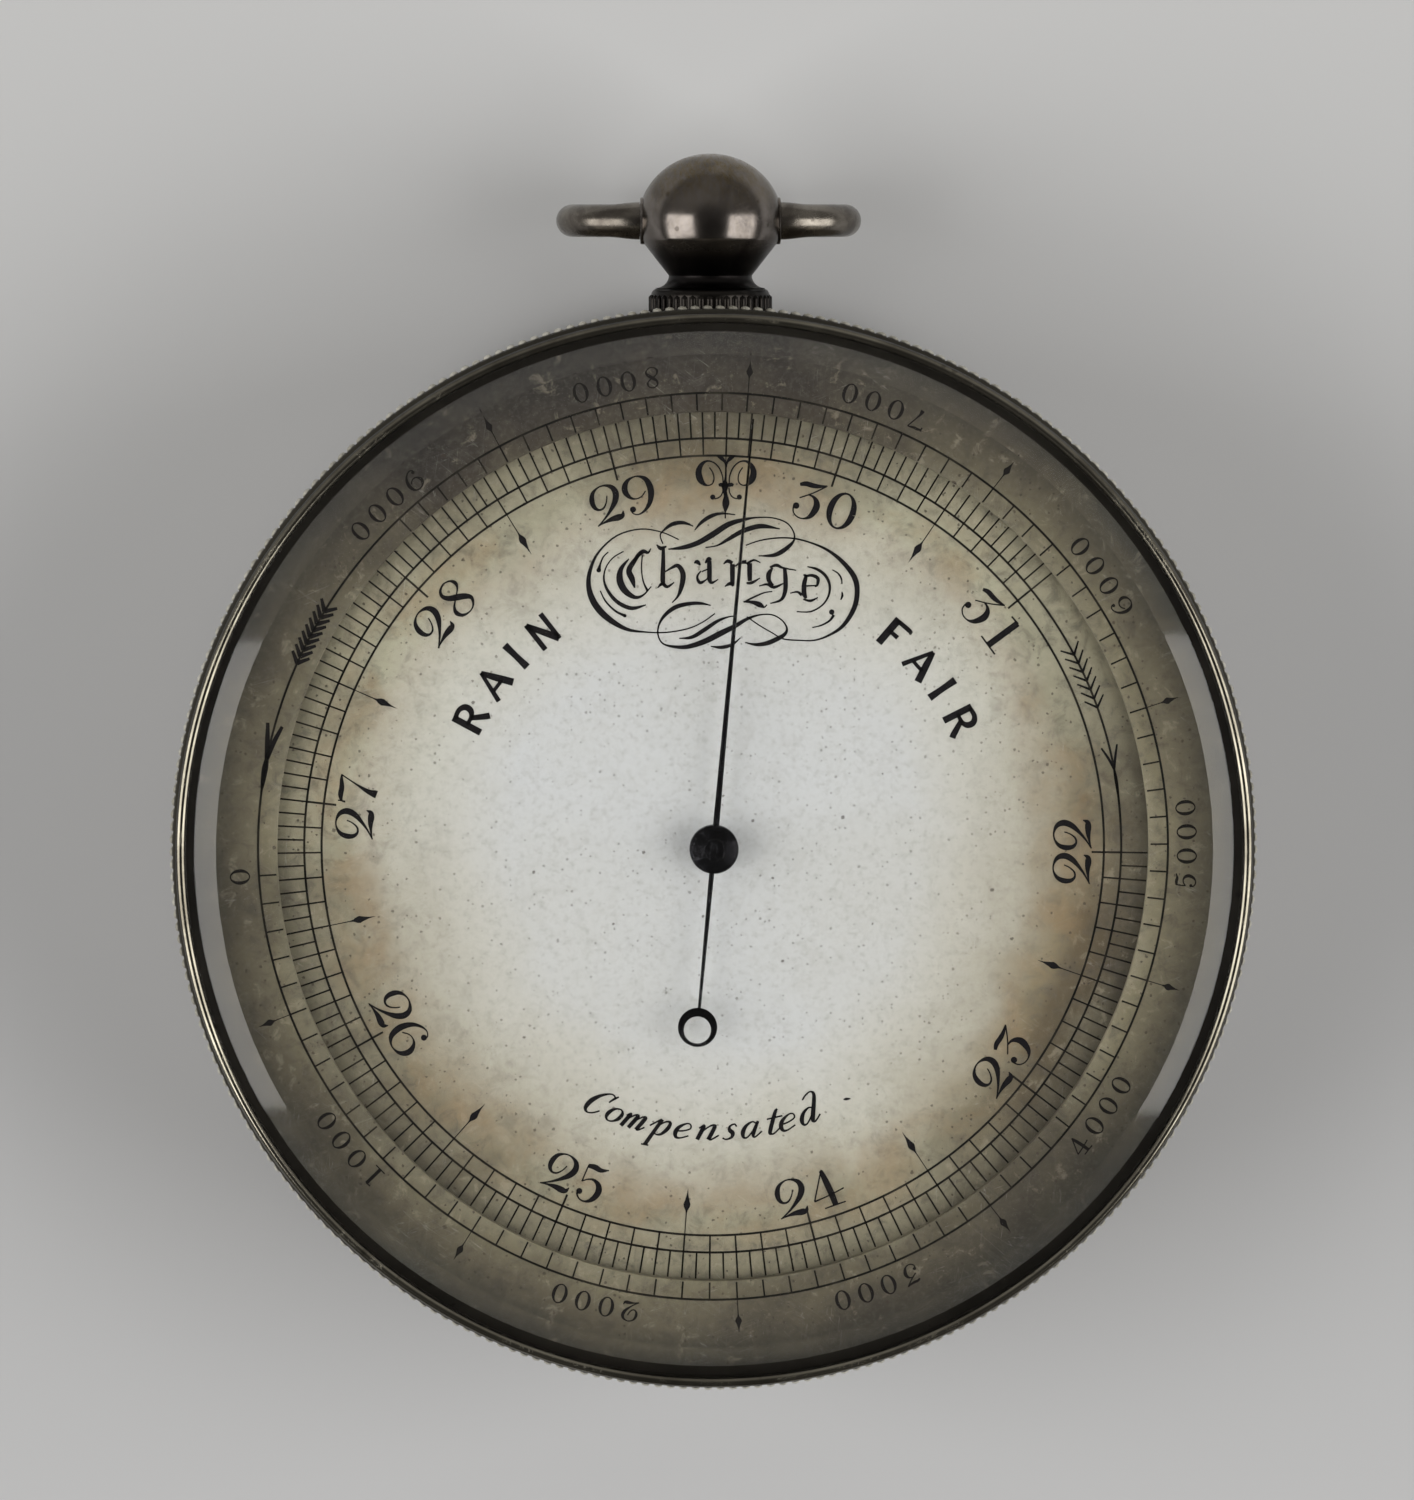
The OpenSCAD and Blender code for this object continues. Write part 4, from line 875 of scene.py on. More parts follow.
def make_collar():
    root = COLLAR_R - KNURL_DEPTH
    profile = [(0, COLLAR_START), (root, COLLAR_START)]
    profile += arc((root - COLLAR_EDGE, COLLAR_END - COLLAR_EDGE), COLLAR_EDGE, 0, 90, 8)
    profile.append((0, COLLAR_END))
    collar = make_piece("pendant_collar_turned", on_pendant(turned(profile, 128)), collar_silver)
    stud = on_pendant(peg(STUD_R + STUD_PLAY, 28, 34))
    wall = turned([(0, 0), (CASE_R, 0), (CASE_R, 20), (0, 20)])
    shaped_by(collar, [stud, wall], "DIFFERENCE")
    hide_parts("pendant_collar")
    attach(collar, "case")
    knurl = grow(bare_object("pendant_collar_knurl"), ridge_ring, Count=KNURL_TEETH,
                 Ring_Radius=(root - 0.02) * MM, Foot=KNURL_START * MM, Height=KNURL_LEN * MM,
                 Width=KNURL_TOOTH_W * MM, Depth=KNURL_TOOTH_T * MM, Centre=(0, 0, PENDANT_Z * MM),
                 Turn=(-math.pi / 2, 0, 0), Material=collar_silver)
    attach(knurl, "case")


def swell(distance):
    """Radius of the wire near its end, where it thickens to a flat eye."""
    t = min(1.0, max(0.0, distance / SWELL))
    return BOW_END_R + (WIRE_R - BOW_END_R) * t * t * (3 - 2 * t)


def make_bow():
    """The wire is swept along two corner arcs and the wide arc that joins them."""
    corner_x = BOW_HALF_W - BOW_CORNER_R
    drop = BOW_REACH - 2 * BOW_CORNER_R
    wide = (corner_x ** 2 + drop ** 2) / (2 * drop)
    lean = math.asin(corner_x / wide)
    half = [(BOW_END_X, 0.0, 0.0)]
    for k in range(33):
        a = (math.pi - lean) * k / 32
        half.append((corner_x + BOW_CORNER_R * math.sin(a), BOW_CORNER_R * (math.cos(a) - 1), a))
    big = wide + BOW_CORNER_R
    for k in range(1, 17):
        a = math.pi - lean + lean * k / 16
        half.append((big * math.sin(a), big * (math.cos(a) + 1) - BOW_REACH, a))
    path = half + [(-x, z, 2 * math.pi - a) for x, z, a in reversed(half[:-1])]
    sides = 32
    points = []
    for x, z, a in path:
        away = math.hypot(abs(x) - BOW_END_X, z)
        r = WIRE_R if z < -BOW_CORNER_R else swell(away)
        for k in range(sides):
            b = 2 * math.pi * k / sides
            across = r * math.cos(b)
            points.append((x + across * math.sin(a), BALL_Y + r * math.sin(b),
                           PENDANT_Z + z + across * math.cos(a)))
    bow = make_piece("bow_wire", (points, tube_faces(len(path), sides)), bow_silver)
    pin = peg(PIN_R, -PIN_HALF, PIN_HALF)
    pins = [across_ball(pin, side * (BOW_END_X - PIN_SHIFT)) for side in (-1, 1)]
    shaped_by(bow, pins, "UNION")
    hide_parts("bow")
    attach(bow, "bow")


# Bezel, glass and altitude ring

def make_bezel():
    foot = math.radians(BEAD_FOOT_TURN)
    profile = [(BORE_R, BEZEL_Z), (SKIRT_R, BEZEL_Z, EDGE), (SKIRT_R, RIM_SEAT_Z - 0.1, 0.1),
               (BEAD_MID_R + BEAD_R * math.cos(foot), RIM_SEAT_Z - 0.1)]
    profile += arc((BEAD_MID_R, BEAD_Z), BEAD_R, BEAD_FOOT_TURN, 180, 36)
    profile += [(SIGHT_R, SIGHT_Z), (BORE_R, GLASS_RIM_Z), (BORE_R, SNAP_Z + SNAP_GROOVE_HALF),
                (BORE_R + SNAP_GROOVE_DEPTH, SNAP_Z), (BORE_R, SNAP_Z - SNAP_GROOVE_HALF)]
    bezel = make_piece("bezel_rim", turned(soften(profile, 3), 360), bezel_silver)
    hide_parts("bezel")
    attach(bezel, "bezel")
    band_in, band_z = SKIRT_R - 0.2, MILL_Z - 0.05
    profile = [(band_in, band_z), (MILL_ROOT_R, band_z, FINE_EDGE), (MILL_ROOT_R, RIM_SEAT_Z, EDGE),
               (band_in, RIM_SEAT_Z)]
    band = make_piece("bezel_band", turned(soften(profile, 3), 360), milled_edge)
    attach(band, "bezel")
    teeth = grow(bare_object("bezel_milling"), ridge_ring, Count=MILL_TEETH,
                 Ring_Radius=MILL_ROOT_R * MM, Foot=MILL_Z * MM, Height=MILL_H * MM,
                 Width=MILL_TOOTH_W * MM, Depth=MILL_DEPTH * MM, Centre=(0, 0, 0), Turn=(0, 0, 0),
                 Material=milled_edge)
    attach(teeth, "bezel")


def make_crystal():
    profile = [(0, GLASS_Z), (BORE_R, GLASS_Z), (BORE_R, GLASS_RIM_Z), (GLASS_FLAT_R, GLASS_TOP, 0.06),
               (0, GLASS_TOP)]
    glass = make_piece("glass_bevelled", turned(soften(profile, 3), 360), bevelled_glass, sharp=12)
    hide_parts("crystal")
    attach(glass, "bezel")


def make_altitude_ring():
    profile = [(RING_IN, RING_Z), (BORE_R, RING_Z), (BORE_R, RING_TOP), (RING_IN, RING_TOP, 0.09)]
    ring = make_piece("altitude_ring_silvered", turned(soften(profile, 3), 360), silvered_ring)
    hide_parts("altitude_ring")
    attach(ring, "bezel")


# Hand

def tapered(length, half_widths, steps, bend=1.0):
    """Stations of an arm of the hand: distance from the arbor and half width."""
    root, tip = half_widths
    return [(length * k / steps, root + (tip - root) * (k / steps) ** bend) for k in range(steps + 1)]


def blade(stations):
    """A thin arm with a flat foot and a ridge along the top."""
    section = ((-1.0, 0.0), (1.0, 0.0), (1.0, 0.5), (0.35, 1.0), (-0.35, 1.0), (-1.0, 0.5))
    points = [(x * half, y, HAND_Z + HAND_T * z) for y, half in stations for x, z in section]
    return points, tube_faces(len(stations), len(section))


def tail_ring():
    """A crescent ring, whose hole stands a little outwards of its rim."""
    section = ((0.0, 0.0), (0.0, 0.55), (0.25, 1.0), (0.75, 1.0), (1.0, 0.55), (1.0, 0.0))
    rim = 64
    points = []
    for x, y in arc((0, 0), 1, 0, 360, rim)[:-1]:
        outer = Vector((TAIL_R * x, -TAIL_LEN + TAIL_R * y))
        inner = Vector((TAIL_HOLE_R * x, -TAIL_LEN - TAIL_HOLE_OUT + TAIL_HOLE_R * y))
        for share, z in section:
            spot = outer.lerp(inner, share)
            points.append((spot.x, spot.y, HAND_Z + HAND_T * z))
    return points, tube_faces(rim, len(section), closed=True)


def make_hand():
    def laid(shape):
        turn = Matrix.Rotation(math.radians(HAND_REST), 4, "Z")
        return [tuple(turn @ Vector(p)) for p in shape[0]], shape[1]

    needle = blade(tapered(HAND_LEN, NEEDLE_HALF_W, 24, 0.8))
    tail = blade(tapered(TAIL_R - TAIL_LEN - TAIL_OVERLAP, TAIL_HALF_W, 12))
    hub = soften([(0, HAND_Z), (HUB_R, HAND_Z, FINE_EDGE), (HUB_R, HUB_TOP - 0.35, HUB_EDGE),
                  (HUB_CAP_R, HUB_TOP - 0.2, 0.1), (HUB_TIP_R, HUB_TOP - 0.02, 0.1), (0, HUB_TOP)], 5)
    hand = make_piece("hand_blade", laid(needle), hand_black)
    shaped_by(hand, [laid(tail), laid(tail_ring()), turned(hub, 96)], "UNION")
    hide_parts("hand")
    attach(hand, "hand")


# Scales. Angles are degrees clockwise from the pendant

INCH_AT = {22: 90.9, 23: 127.6, 24: 165.6, 25: 202.75, 26: 240.75, 27: 276.5, 28: 311.35, 29: 345.4,
           30: 378.15, 31: 411.0}
HALF_INCH_AT = {22: 109.4, 23: 146.6, 24: 184.2, 25: 221.6, 26: 258.5, 27: 293.8, 28: 328.25,
                29: 361.85, 30: 394.4}
FEET_AT = {0: 266.65, 500: 248.6, 1500: 212.25, 2500: 177.0, 3500: 142.4, 4500: 107.15, 5500: 72.05,
           6500: 37.8, 7500: 4.3, 8500: -27.95, 9000: -43.5}
INNER_CIRCLE_R = 23.08
MID_CIRCLE_R = 24.1
ALTITUDE_CIRCLE_R = 26.8
WHOLE_TICK_R = 22.35
WHOLE_TICK_WEIGHT = 1.25
LINE_W = 0.1
CIRCLE_W = 0.13
# Width and length of the darts that mark the halves
PRESSURE_DART = (0.42, 2.75)
ALTITUDE_DART = (0.4, 2.0)
# Height, circle and pitch of the figures
INCH_FIGURE_H = 2.25
INCH_FIGURE_R = 21.2
INCH_PITCH = 2.0
FEET_FIGURE_H = 1.2
FEET_FIGURE_R = 27.92
FEET_PITCH = 1.43
# Numbers that the engraver set a little off their mark: radius, turn and pitch of the figures
FIGURE_PLACES = {23: (21.35, -0.9, 2.2), 24: (21.35, -1.0, 2.2), 25: (21.25, -0.35, 2.0),
                 28: (21.1, 0.0, 2.15)}
CAPITAL_H = 1.85
# The first number of each scale that is read from the other side
INCHES_TURN_AT = 27
FEET_TURN_AT = 4000


def around(radius, angle, z):
    a = math.radians(angle)
    return (radius * math.sin(a), radius * math.cos(a), z)


def scale_angle(known, value):
    """Angle of a scale value that lies between two known ones."""
    places = sorted(known)
    for low, high in zip(places, places[1:]):
        if value <= high:
            return known[low] + (known[high] - known[low]) * (value - low) / (high - low)
    return known[places[-1]]


pressure_at = dict(INCH_AT)
pressure_at.update({inch + 0.5: angle for inch, angle in HALF_INCH_AT.items()})


def put_marks(name, body, marks, shape, z, material):
    """Marks are (inner radius, angle, width, length), each a copy of one flat shape."""
    holder = bpy.data.meshes.new(name)
    holder.from_pydata([[v * MM for v in around(r, a, z)] for r, a, _, _ in marks], [], [])
    turn = holder.attributes.new("turn", "FLOAT", "POINT")
    turn.data.foreach_set("value", [-math.radians(a) for _, a, _, _ in marks])
    size = holder.attributes.new("size", "FLOAT_VECTOR", "POINT")
    size.data.foreach_set("vector", [v * MM for _, _, w, l in marks for v in (w, l, 1.0)])
    piece = bpy.data.objects.new(name, holder)
    scene.collection.objects.link(piece)
    stamp = bpy.data.objects.new(f"{name}_shape", bpy.data.meshes.new(f"{name}_shape"))
    stamp.data.from_pydata(shape[0], [], shape[1])
    grow(piece, marks_on_points, Mark=stamp, Material=material)
    bpy.data.objects.remove(stamp)
    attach(piece, body)


TICK = ([(-0.5, 0, 0), (0.5, 0, 0), (0.5, 1, 0), (-0.5, 1, 0)], [(0, 1, 2, 3)])
# A stem that swells to a lozenge and ends in a fine point, drawn from its foot
DART_HALF = ((0.0, 0.12), (0.45, 0.14), (0.52, 0.3), (0.6, 0.85), (0.66, 1.0), (0.74, 0.62),
             (0.86, 0.22), (1.0, 0.03))


def dart_shape():
    points = [(side * w, t, 0) for side in (0.5, -0.5) for t, w in DART_HALF]
    n = len(DART_HALF)
    return points, [(k, k + 1, n + k + 1, n + k) for k in range(n - 1)]


def make_circle(name, body, radius, z):
    steps = 360
    edges = (radius - CIRCLE_W / 2, radius + CIRCLE_W / 2)
    points = [around(r, 360 * k / steps, z) for k in range(steps) for r in edges]
    faces = []
    for k in range(steps):
        n = (k + 1) % steps
        faces.append((2 * n, 2 * n + 1, 2 * k + 1, 2 * k))
    circle = make_piece(name, (points, faces), engraved_line, closed=False)
    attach(circle, body)


def make_scales():
    face = DIAL_TOP + INK_LIFT
    ring = RING_TOP + INK_LIFT
    marks = []
    for k in range(91):
        whole = k % 10 == 0
        foot = WHOLE_TICK_R if whole else INNER_CIRCLE_R
        angle = scale_angle(pressure_at, round(22 + 0.1 * k, 2))
        marks.append((foot, angle, LINE_W * (WHOLE_TICK_WEIGHT if whole else 1.0), MID_CIRCLE_R - foot))
    for k in range(181):
        angle = scale_angle(pressure_at, 22 + 0.05 * k)
        marks.append((MID_CIRCLE_R, angle, LINE_W, RING_IN - MID_CIRCLE_R))
    put_marks("pressure_ticks", "case", marks, TICK, face, engraved_line)
    darts = [(-INNER_CIRCLE_R, angle + 180, *PRESSURE_DART) for angle in HALF_INCH_AT.values()]
    put_marks("pressure_darts", "case", darts, dart_shape(), face, black_wax)
    foot = RING_IN + 0.1
    feet = [(foot, scale_angle(FEET_AT, 100 * k), LINE_W, ALTITUDE_CIRCLE_R - foot) for k in range(91)]
    put_marks("altitude_ticks", "bezel", feet, TICK, ring, engraved_line)
    odd = [angle for value, angle in FEET_AT.items() if value % 1000 == 500]
    darts = [(ALTITUDE_CIRCLE_R, angle, *ALTITUDE_DART) for angle in odd]
    put_marks("altitude_darts", "bezel", darts, dart_shape(), ring, black_wax)
    make_circle("pressure_circle_inner", "case", INNER_CIRCLE_R, face)
    make_circle("pressure_circle_mid", "case", MID_CIRCLE_R, face)
    make_circle("altitude_circle", "bezel", ALTITUDE_CIRCLE_R, ring)


# Lettering, drawn with a brush: a stroke is a smooth line through (x, y, width) points, and a stroke
# of one point is a round dot. Figures and capitals are one unit high

# Millimetres; nothing is drawn finer
FINEST = 0.075


def oval(x, y, half_w, half_h, thin, thick, steps=14):
    turns = [2 * math.pi * k / steps for k in range(steps + 1)]
    return [(x + half_w * math.cos(a), y + half_h * math.sin(a),
             thin + (thick - thin) * math.cos(a) ** 2) for a in turns]


SIX = (
    ((0.68, 0.84, 0.04), (0.66, 0.93, 0.035), (0.54, 0.985, 0.035), (0.38, 0.94, 0.06), (0.2, 0.78, 0.11),
     (0.1, 0.55, 0.16), (0.085, 0.34, 0.17), (0.15, 0.13, 0.13), (0.3, 0.02, 0.06), (0.45, 0, 0.04),
     (0.62, 0.06, 0.09), (0.73, 0.2, 0.15), (0.74, 0.36, 0.15), (0.64, 0.52, 0.08), (0.5, 0.575, 0.035),
     (0.35, 0.54, 0.03), (0.22, 0.42, 0.03)),
    ((0.64, 0.83, 0.16),),
)
FIGURES = {
    "0": (oval(0.38, 0.5, 0.3, 0.47, 0.05, 0.17),),
    "1": (((0.38, 0, 0.17), (0.38, 0.97, 0.17)), ((0.4, 0.97, 0.05), (0.14, 0.95, 0.045)),
          ((0.08, 0.01, 0.045), (0.68, 0.01, 0.045))),
    "2": (((0.5, 0.7, 0.02), (0.44, 0.55, 0.035), (0.33, 0.42, 0.05), (0.2, 0.4, 0.06), (0.1, 0.5, 0.11),
           (0.085, 0.68, 0.14), (0.16, 0.86, 0.1), (0.32, 0.965, 0.045), (0.5, 0.975, 0.05),
           (0.68, 0.88, 0.12), (0.74, 0.7, 0.165), (0.66, 0.5, 0.15), (0.48, 0.31, 0.09),
           (0.27, 0.14, 0.05), (0.04, 0, 0.03)),
          ((0.04, 0.005, 0.02), (0.25, 0.05, 0.06), (0.45, 0.075, 0.13), (0.62, 0.07, 0.17),
           (0.74, 0.09, 0.12), (0.79, 0.2, 0.02))),
    "3": (((0.05, 0.84, 0.08), (0.2, 0.9, 0.13), (0.4, 0.9, 0.13), (0.58, 0.93, 0.09), (0.75, 0.99, 0.02)),
          ((0.75, 0.985, 0.04), (0.45, 0.72, 0.035), (0.13, 0.5, 0.035)),
          ((0.33, 0.64, 0.04), (0.47, 0.62, 0.07), (0.58, 0.52, 0.14), (0.62, 0.36, 0.18),
           (0.54, 0.13, 0.13), (0.4, 0.01, 0.05), (0.22, 0, 0.035), (0.08, 0.09, 0.035), (0.04, 0.22, 0.04),
           (0.06, 0.28, 0.04)),
          ((0.1, 0.28, 0.17),)),
    "4": (((0.42, 1, 0.03), (0, 0.26, 0.04)), ((-0.01, 0.25, 0.05), (0.42, 0.29, 0.035), (0.84, 0.36, 0.04)),
          ((0.4, 0.98, 0.1), (0.44, 0.7, 0.16), (0.48, 0.35, 0.17), (0.5, 0.02, 0.15)),
          ((0.2, -0.01, 0.03), (0.5, 0, 0.045), (0.78, 0, 0.03))),
    "5": (((0.12, 0.93, 0.1), (0.3, 0.95, 0.15), (0.48, 0.92, 0.12), (0.68, 0.99, 0.02)),
          ((0.13, 0.95, 0.04), (0.11, 0.7, 0.035), (0.1, 0.48, 0.04)),
          ((0.1, 0.49, 0.03), (0.22, 0.58, 0.04), (0.38, 0.62, 0.07), (0.54, 0.53, 0.14), (0.6, 0.35, 0.17),
           (0.52, 0.13, 0.13), (0.36, 0.01, 0.06), (0.2, 0.02, 0.04), (0.09, 0.12, 0.045),
           (0.08, 0.22, 0.05)),
          ((0.12, 0.22, 0.16),)),
    "6": SIX,
    "7": (((0.03, 0.78, 0.02), (0.06, 0.88, 0.06), (0.2, 0.93, 0.13), (0.4, 0.93, 0.13), (0.62, 0.97, 0.08),
           (0.74, 0.98, 0.03)),
          ((0.05, 0.98, 0.03), (0.05, 0.78, 0.03)),
          ((0.72, 0.97, 0.03), (0.55, 0.6, 0.045), (0.4, 0.25, 0.12), (0.36, 0.05, 0.2), (0.35, 0, 0.2))),
    "8": (((0.42, 1, 0.04), (0.24, 0.93, 0.07), (0.17, 0.79, 0.1), (0.25, 0.63, 0.14), (0.42, 0.5, 0.17),
           (0.6, 0.36, 0.15), (0.68, 0.22, 0.1), (0.58, 0.06, 0.05), (0.4, 0, 0.04), (0.2, 0.06, 0.08),
           (0.12, 0.22, 0.12), (0.2, 0.38, 0.06), (0.42, 0.53, 0.035), (0.6, 0.66, 0.05), (0.66, 0.8, 0.1),
           (0.58, 0.94, 0.05), (0.42, 1, 0.04)),),
    "9": [[(0.82 - x, 1 - y, w) for x, y, w in stroke] for stroke in SIX],
}
CAPITALS = {
    "R": (((0.1, 0, 0.22), (0.1, 1, 0.22)),
          ((0.1, 0.93, 0.14), (0.4, 0.95, 0.16), (0.58, 0.82, 0.2), (0.57, 0.62, 0.2), (0.4, 0.5, 0.14),
           (0.1, 0.5, 0.12)),
          ((0.36, 0.5, 0.16), (0.62, 0.12, 0.2), (0.72, 0, 0.2))),
    "A": (((-0.02, 0, 0.16), (0.36, 1, 0.12)), ((0.36, 1, 0.14), (0.5, 0.6, 0.22), (0.74, 0, 0.24)),
          ((0.12, 0.33, 0.12), (0.58, 0.33, 0.12))),
    "I": (((0.12, 0, 0.24), (0.12, 0.5, 0.2), (0.12, 1, 0.24)),),
    "N": (((0.08, 0, 0.17), (0.08, 1, 0.17)), ((0.06, 0.98, 0.18), (0.66, 0.02, 0.24)),
          ((0.66, 0, 0.15), (0.66, 1, 0.17))),
    "F": (((0.1, 0, 0.24), (0.1, 1, 0.24)), ((0.1, 0.93, 0.14), (0.62, 0.93, 0.15), (0.64, 0.86, 0.1)),
          ((0.1, 0.52, 0.13), (0.46, 0.52, 0.15))),
}
# Small letters of the slanted hand: one unit is the height of an x
BOWL = ((0.48, 0.85, 0.04), (0.3, 1, 0.05), (0.1, 0.8, 0.14), (0.04, 0.4, 0.2), (0.14, 0.05, 0.12),
        (0.3, 0.05, 0.04), (0.46, 0.5, 0.03))
STEM = ((0, 0.75, 0.03), (0.1, 0.95, 0.08), (0.12, 0.8, 0.18), (0.1, 0, 0.18))
ARCH = ((0.12, 0.5, 0.03), (0.3, 0.9, 0.06), (0.42, 0.95, 0.12), (0.46, 0.8, 0.18), (0.44, 0, 0.18))
TAIL = ((0.44, 0.12, 0.16), (0.52, 0, 0.08), (0.7, 0.3, 0.05))


def shifted(stroke, x):
    return [(px + x, y, w) for px, y, w in stroke]


SCRIPT = {
    "C": (((0.75, 1.45, 0.03), (0.62, 1.68, 0.05), (0.4, 1.7, 0.06), (0.15, 1.35, 0.14), (0.02, 0.8, 0.22),
           (0.08, 0.25, 0.18), (0.28, 0, 0.08), (0.5, 0.1, 0.04), (0.66, 0.4, 0.03)),
          ((0.78, 1.75, 0.03), (0.7, 1.5, 0.1), (0.66, 1.15, 0.04))),
    "o": (oval(0.3, 0.5, 0.27, 0.48, 0.05, 0.18),),
    "m": (STEM, ARCH, shifted(ARCH, 0.34), shifted(TAIL, 0.34)),
    "p": (((0.1, 1.05, 0.16), (0.1, -0.8, 0.18)), ((-0.2, 0.5, 0.03), (0.05, 1, 0.08)),
          ((-0.05, -0.8, 0.05), (0.25, -0.8, 0.05)),
          ((0.1, 0.6, 0.03), (0.3, 0.95, 0.08), (0.48, 0.9, 0.14), (0.52, 0.5, 0.18), (0.42, 0.08, 0.12),
           (0.25, 0, 0.05), (0.12, 0.12, 0.03))),
    "e": (((0.08, 0.45, 0.03), (0.3, 0.5, 0.04), (0.5, 0.68, 0.06), (0.42, 0.95, 0.06), (0.25, 0.98, 0.08),
           (0.06, 0.7, 0.16), (0.04, 0.35, 0.2), (0.15, 0.05, 0.14), (0.32, 0, 0.06), (0.58, 0.2, 0.03)),),
    "n": (STEM, ARCH, TAIL),
    "s": (((0.42, 0.8, 0.06), (0.3, 0.98, 0.05), (0.15, 0.85, 0.1), (0.2, 0.6, 0.18), (0.36, 0.4, 0.2),
           (0.38, 0.12, 0.12), (0.2, 0, 0.05), (0.03, 0.12, 0.08)),),
    "a": (BOWL, ((0.52, 1, 0.12), (0.48, 0.3, 0.18), (0.52, 0.03, 0.12), (0.62, 0, 0.05), (0.8, 0.3, 0.03))),
    "t": (((0.2, 1.55, 0.05), (0.15, 1.3, 0.16), (0.12, 0.2, 0.18), (0.18, 0, 0.1), (0.3, 0, 0.05),
           (0.45, 0.25, 0.03)),
          ((-0.1, 1, 0.05), (0.45, 1.02, 0.05))),
    "d": (BOWL, ((0, 1.6, 0.03), (0.12, 1.85, 0.05), (0.32, 1.95, 0.06), (0.48, 1.6, 0.16), (0.5, 0.3, 0.2),
                 (0.56, 0.03, 0.12), (0.66, 0.05, 0.05), (0.8, 0.35, 0.03))),
}
# Weather words: the circle that each stands on, and where its capitals stand
WEATHER_WORDS = (("RAIN", 16.2, (298.5, 307.0, 314.2, 321.7)), ("FAIR", 16.4, (40.8, 48.5, 55.4, 63.4)))
# The slanted word, letter by letter: place in degrees clockwise from the pendant, and width
SLANTED_WORD = (("C", 204.3, 1.5), ("o", 200.2, 1.55), ("m", 195.8, 1.5), ("p", 191.0, 1.65),
                ("e", 185.9, 1.75), ("n", 180.9, 2.15), ("s", 176.7, 1.7), ("a", 172.0, 1.7),
                ("t", 168.0, 1.9), ("e", 164.7, 1.85), ("d", 160.1, 1.7))
SLANTED_R = 16.93
SLANTED_X_H = 0.9
SLANT = 0.45
SLANTED_WEIGHT = 1.5
SLANTED_FINEST = 0.1
SLANTED_DASH = ((7.7, -15.01, 0.05), (7.88, -14.98, 0.17), (8.12, -14.96, 0.05))
# The word over the centre and the flourish round it, drawn with y downwards, 80 units to a millimetre
WORD_UNIT = 80
WORD_MIDDLE = (770, 380)
WORD_AT = (0.6, 15.7)
FLOURISH_WEIGHT = 1.12
CHANGE_WEIGHT = 1.35
FLOURISH = (
    ((560, 185, 2), (480, 150, 5), (380, 135, 6), (270, 165, 7), (185, 240, 9), (145, 320, 15),
     (135, 400, 21), (160, 480, 28), (220, 550, 27), (310, 605, 16), (400, 620, 7), (500, 622, 6),
     (600, 605, 6), (670, 575, 5), (730, 533, 3)),
    ((485, 205, 3), (472, 165, 5), (490, 140, 9), (530, 112, 17), (580, 105, 15), (628, 122, 3)),
    ((635, 140, 3), (665, 105, 14), (710, 75, 17), (760, 62, 10), (825, 68, 3)),
    ((510, 230, 4), (580, 222, 18), (650, 200, 22), (720, 160, 25), (790, 115, 23), (850, 95, 17),
     (920, 82, 7), (1000, 83, 6), (1065, 105, 6), (1098, 145, 6), (1103, 185, 8), (1080, 215, 16),
     (1040, 245, 20), (1000, 260, 15), (935, 262, 3)),
    ((685, 222, 3), (740, 213, 7), (790, 185, 15), (850, 150, 20), (910, 128, 21), (960, 122, 19),
     (1035, 135, 3)),
    ((875, 212, 3), (940, 190, 6), (1020, 178, 6), (1100, 180, 7), (1180, 200, 8), (1260, 235, 12),
     (1330, 290, 18), (1385, 360, 23), (1400, 430, 21), (1385, 510, 21), (1335, 590, 16), (1270, 635, 10),
     (1200, 660, 7), (1120, 660, 6), (1050, 653, 6), (1000, 625, 5), (940, 590, 5), (880, 548, 3)),
    ((710, 495, 3), (660, 485, 13), (600, 488, 17), (540, 505, 19), (490, 545, 14), (465, 590, 8),
     (462, 635, 6), (485, 675, 7), (540, 690, 13), (600, 690, 19), (680, 665, 24), (750, 630, 25),
     (820, 595, 20), (880, 560, 14), (940, 540, 7), (1000, 540, 6), (1045, 565, 6), (1068, 600, 8),
     (1060, 630, 15), (1020, 655, 20), (970, 675, 19), (920, 680, 13), (872, 670, 3)),
    ((562, 650, 3), (620, 645, 15), (680, 610, 18), (740, 570, 14), (790, 550, 7), (825, 545, 3)),
    ((710, 688, 3), (760, 693, 15), (810, 680, 13), (850, 648, 3)),
    ((300, 240, 3), (250, 270, 5), (215, 320, 6), (208, 380, 9), (235, 440, 14), (280, 485, 17),
     (340, 508, 17), (405, 492, 5)),
    ((228, 243, 3), (205, 265, 6), (190, 300, 8), (183, 328, 18)),
    ((183, 328, 20),),
    ((190, 425, 3), (215, 475, 7), (260, 520, 9), (305, 543, 12)),
    ((305, 543, 15),),
    ((1165, 313, 4), (1210, 325, 12), (1250, 355, 13), (1270, 400, 11), (1265, 450, 9), (1235, 495, 7),
     (1180, 525, 7), (1115, 525, 3)),
    ((1283, 328, 3), (1310, 345, 7), (1325, 370, 7), (1328, 395, 3)),
    ((1328, 432, 3), (1330, 450, 10), (1322, 470, 3)),
    ((1188, 600, 3), (1230, 590, 7), (1270, 568, 9), (1290, 540, 13)),
    ((1280, 527, 23),),
)
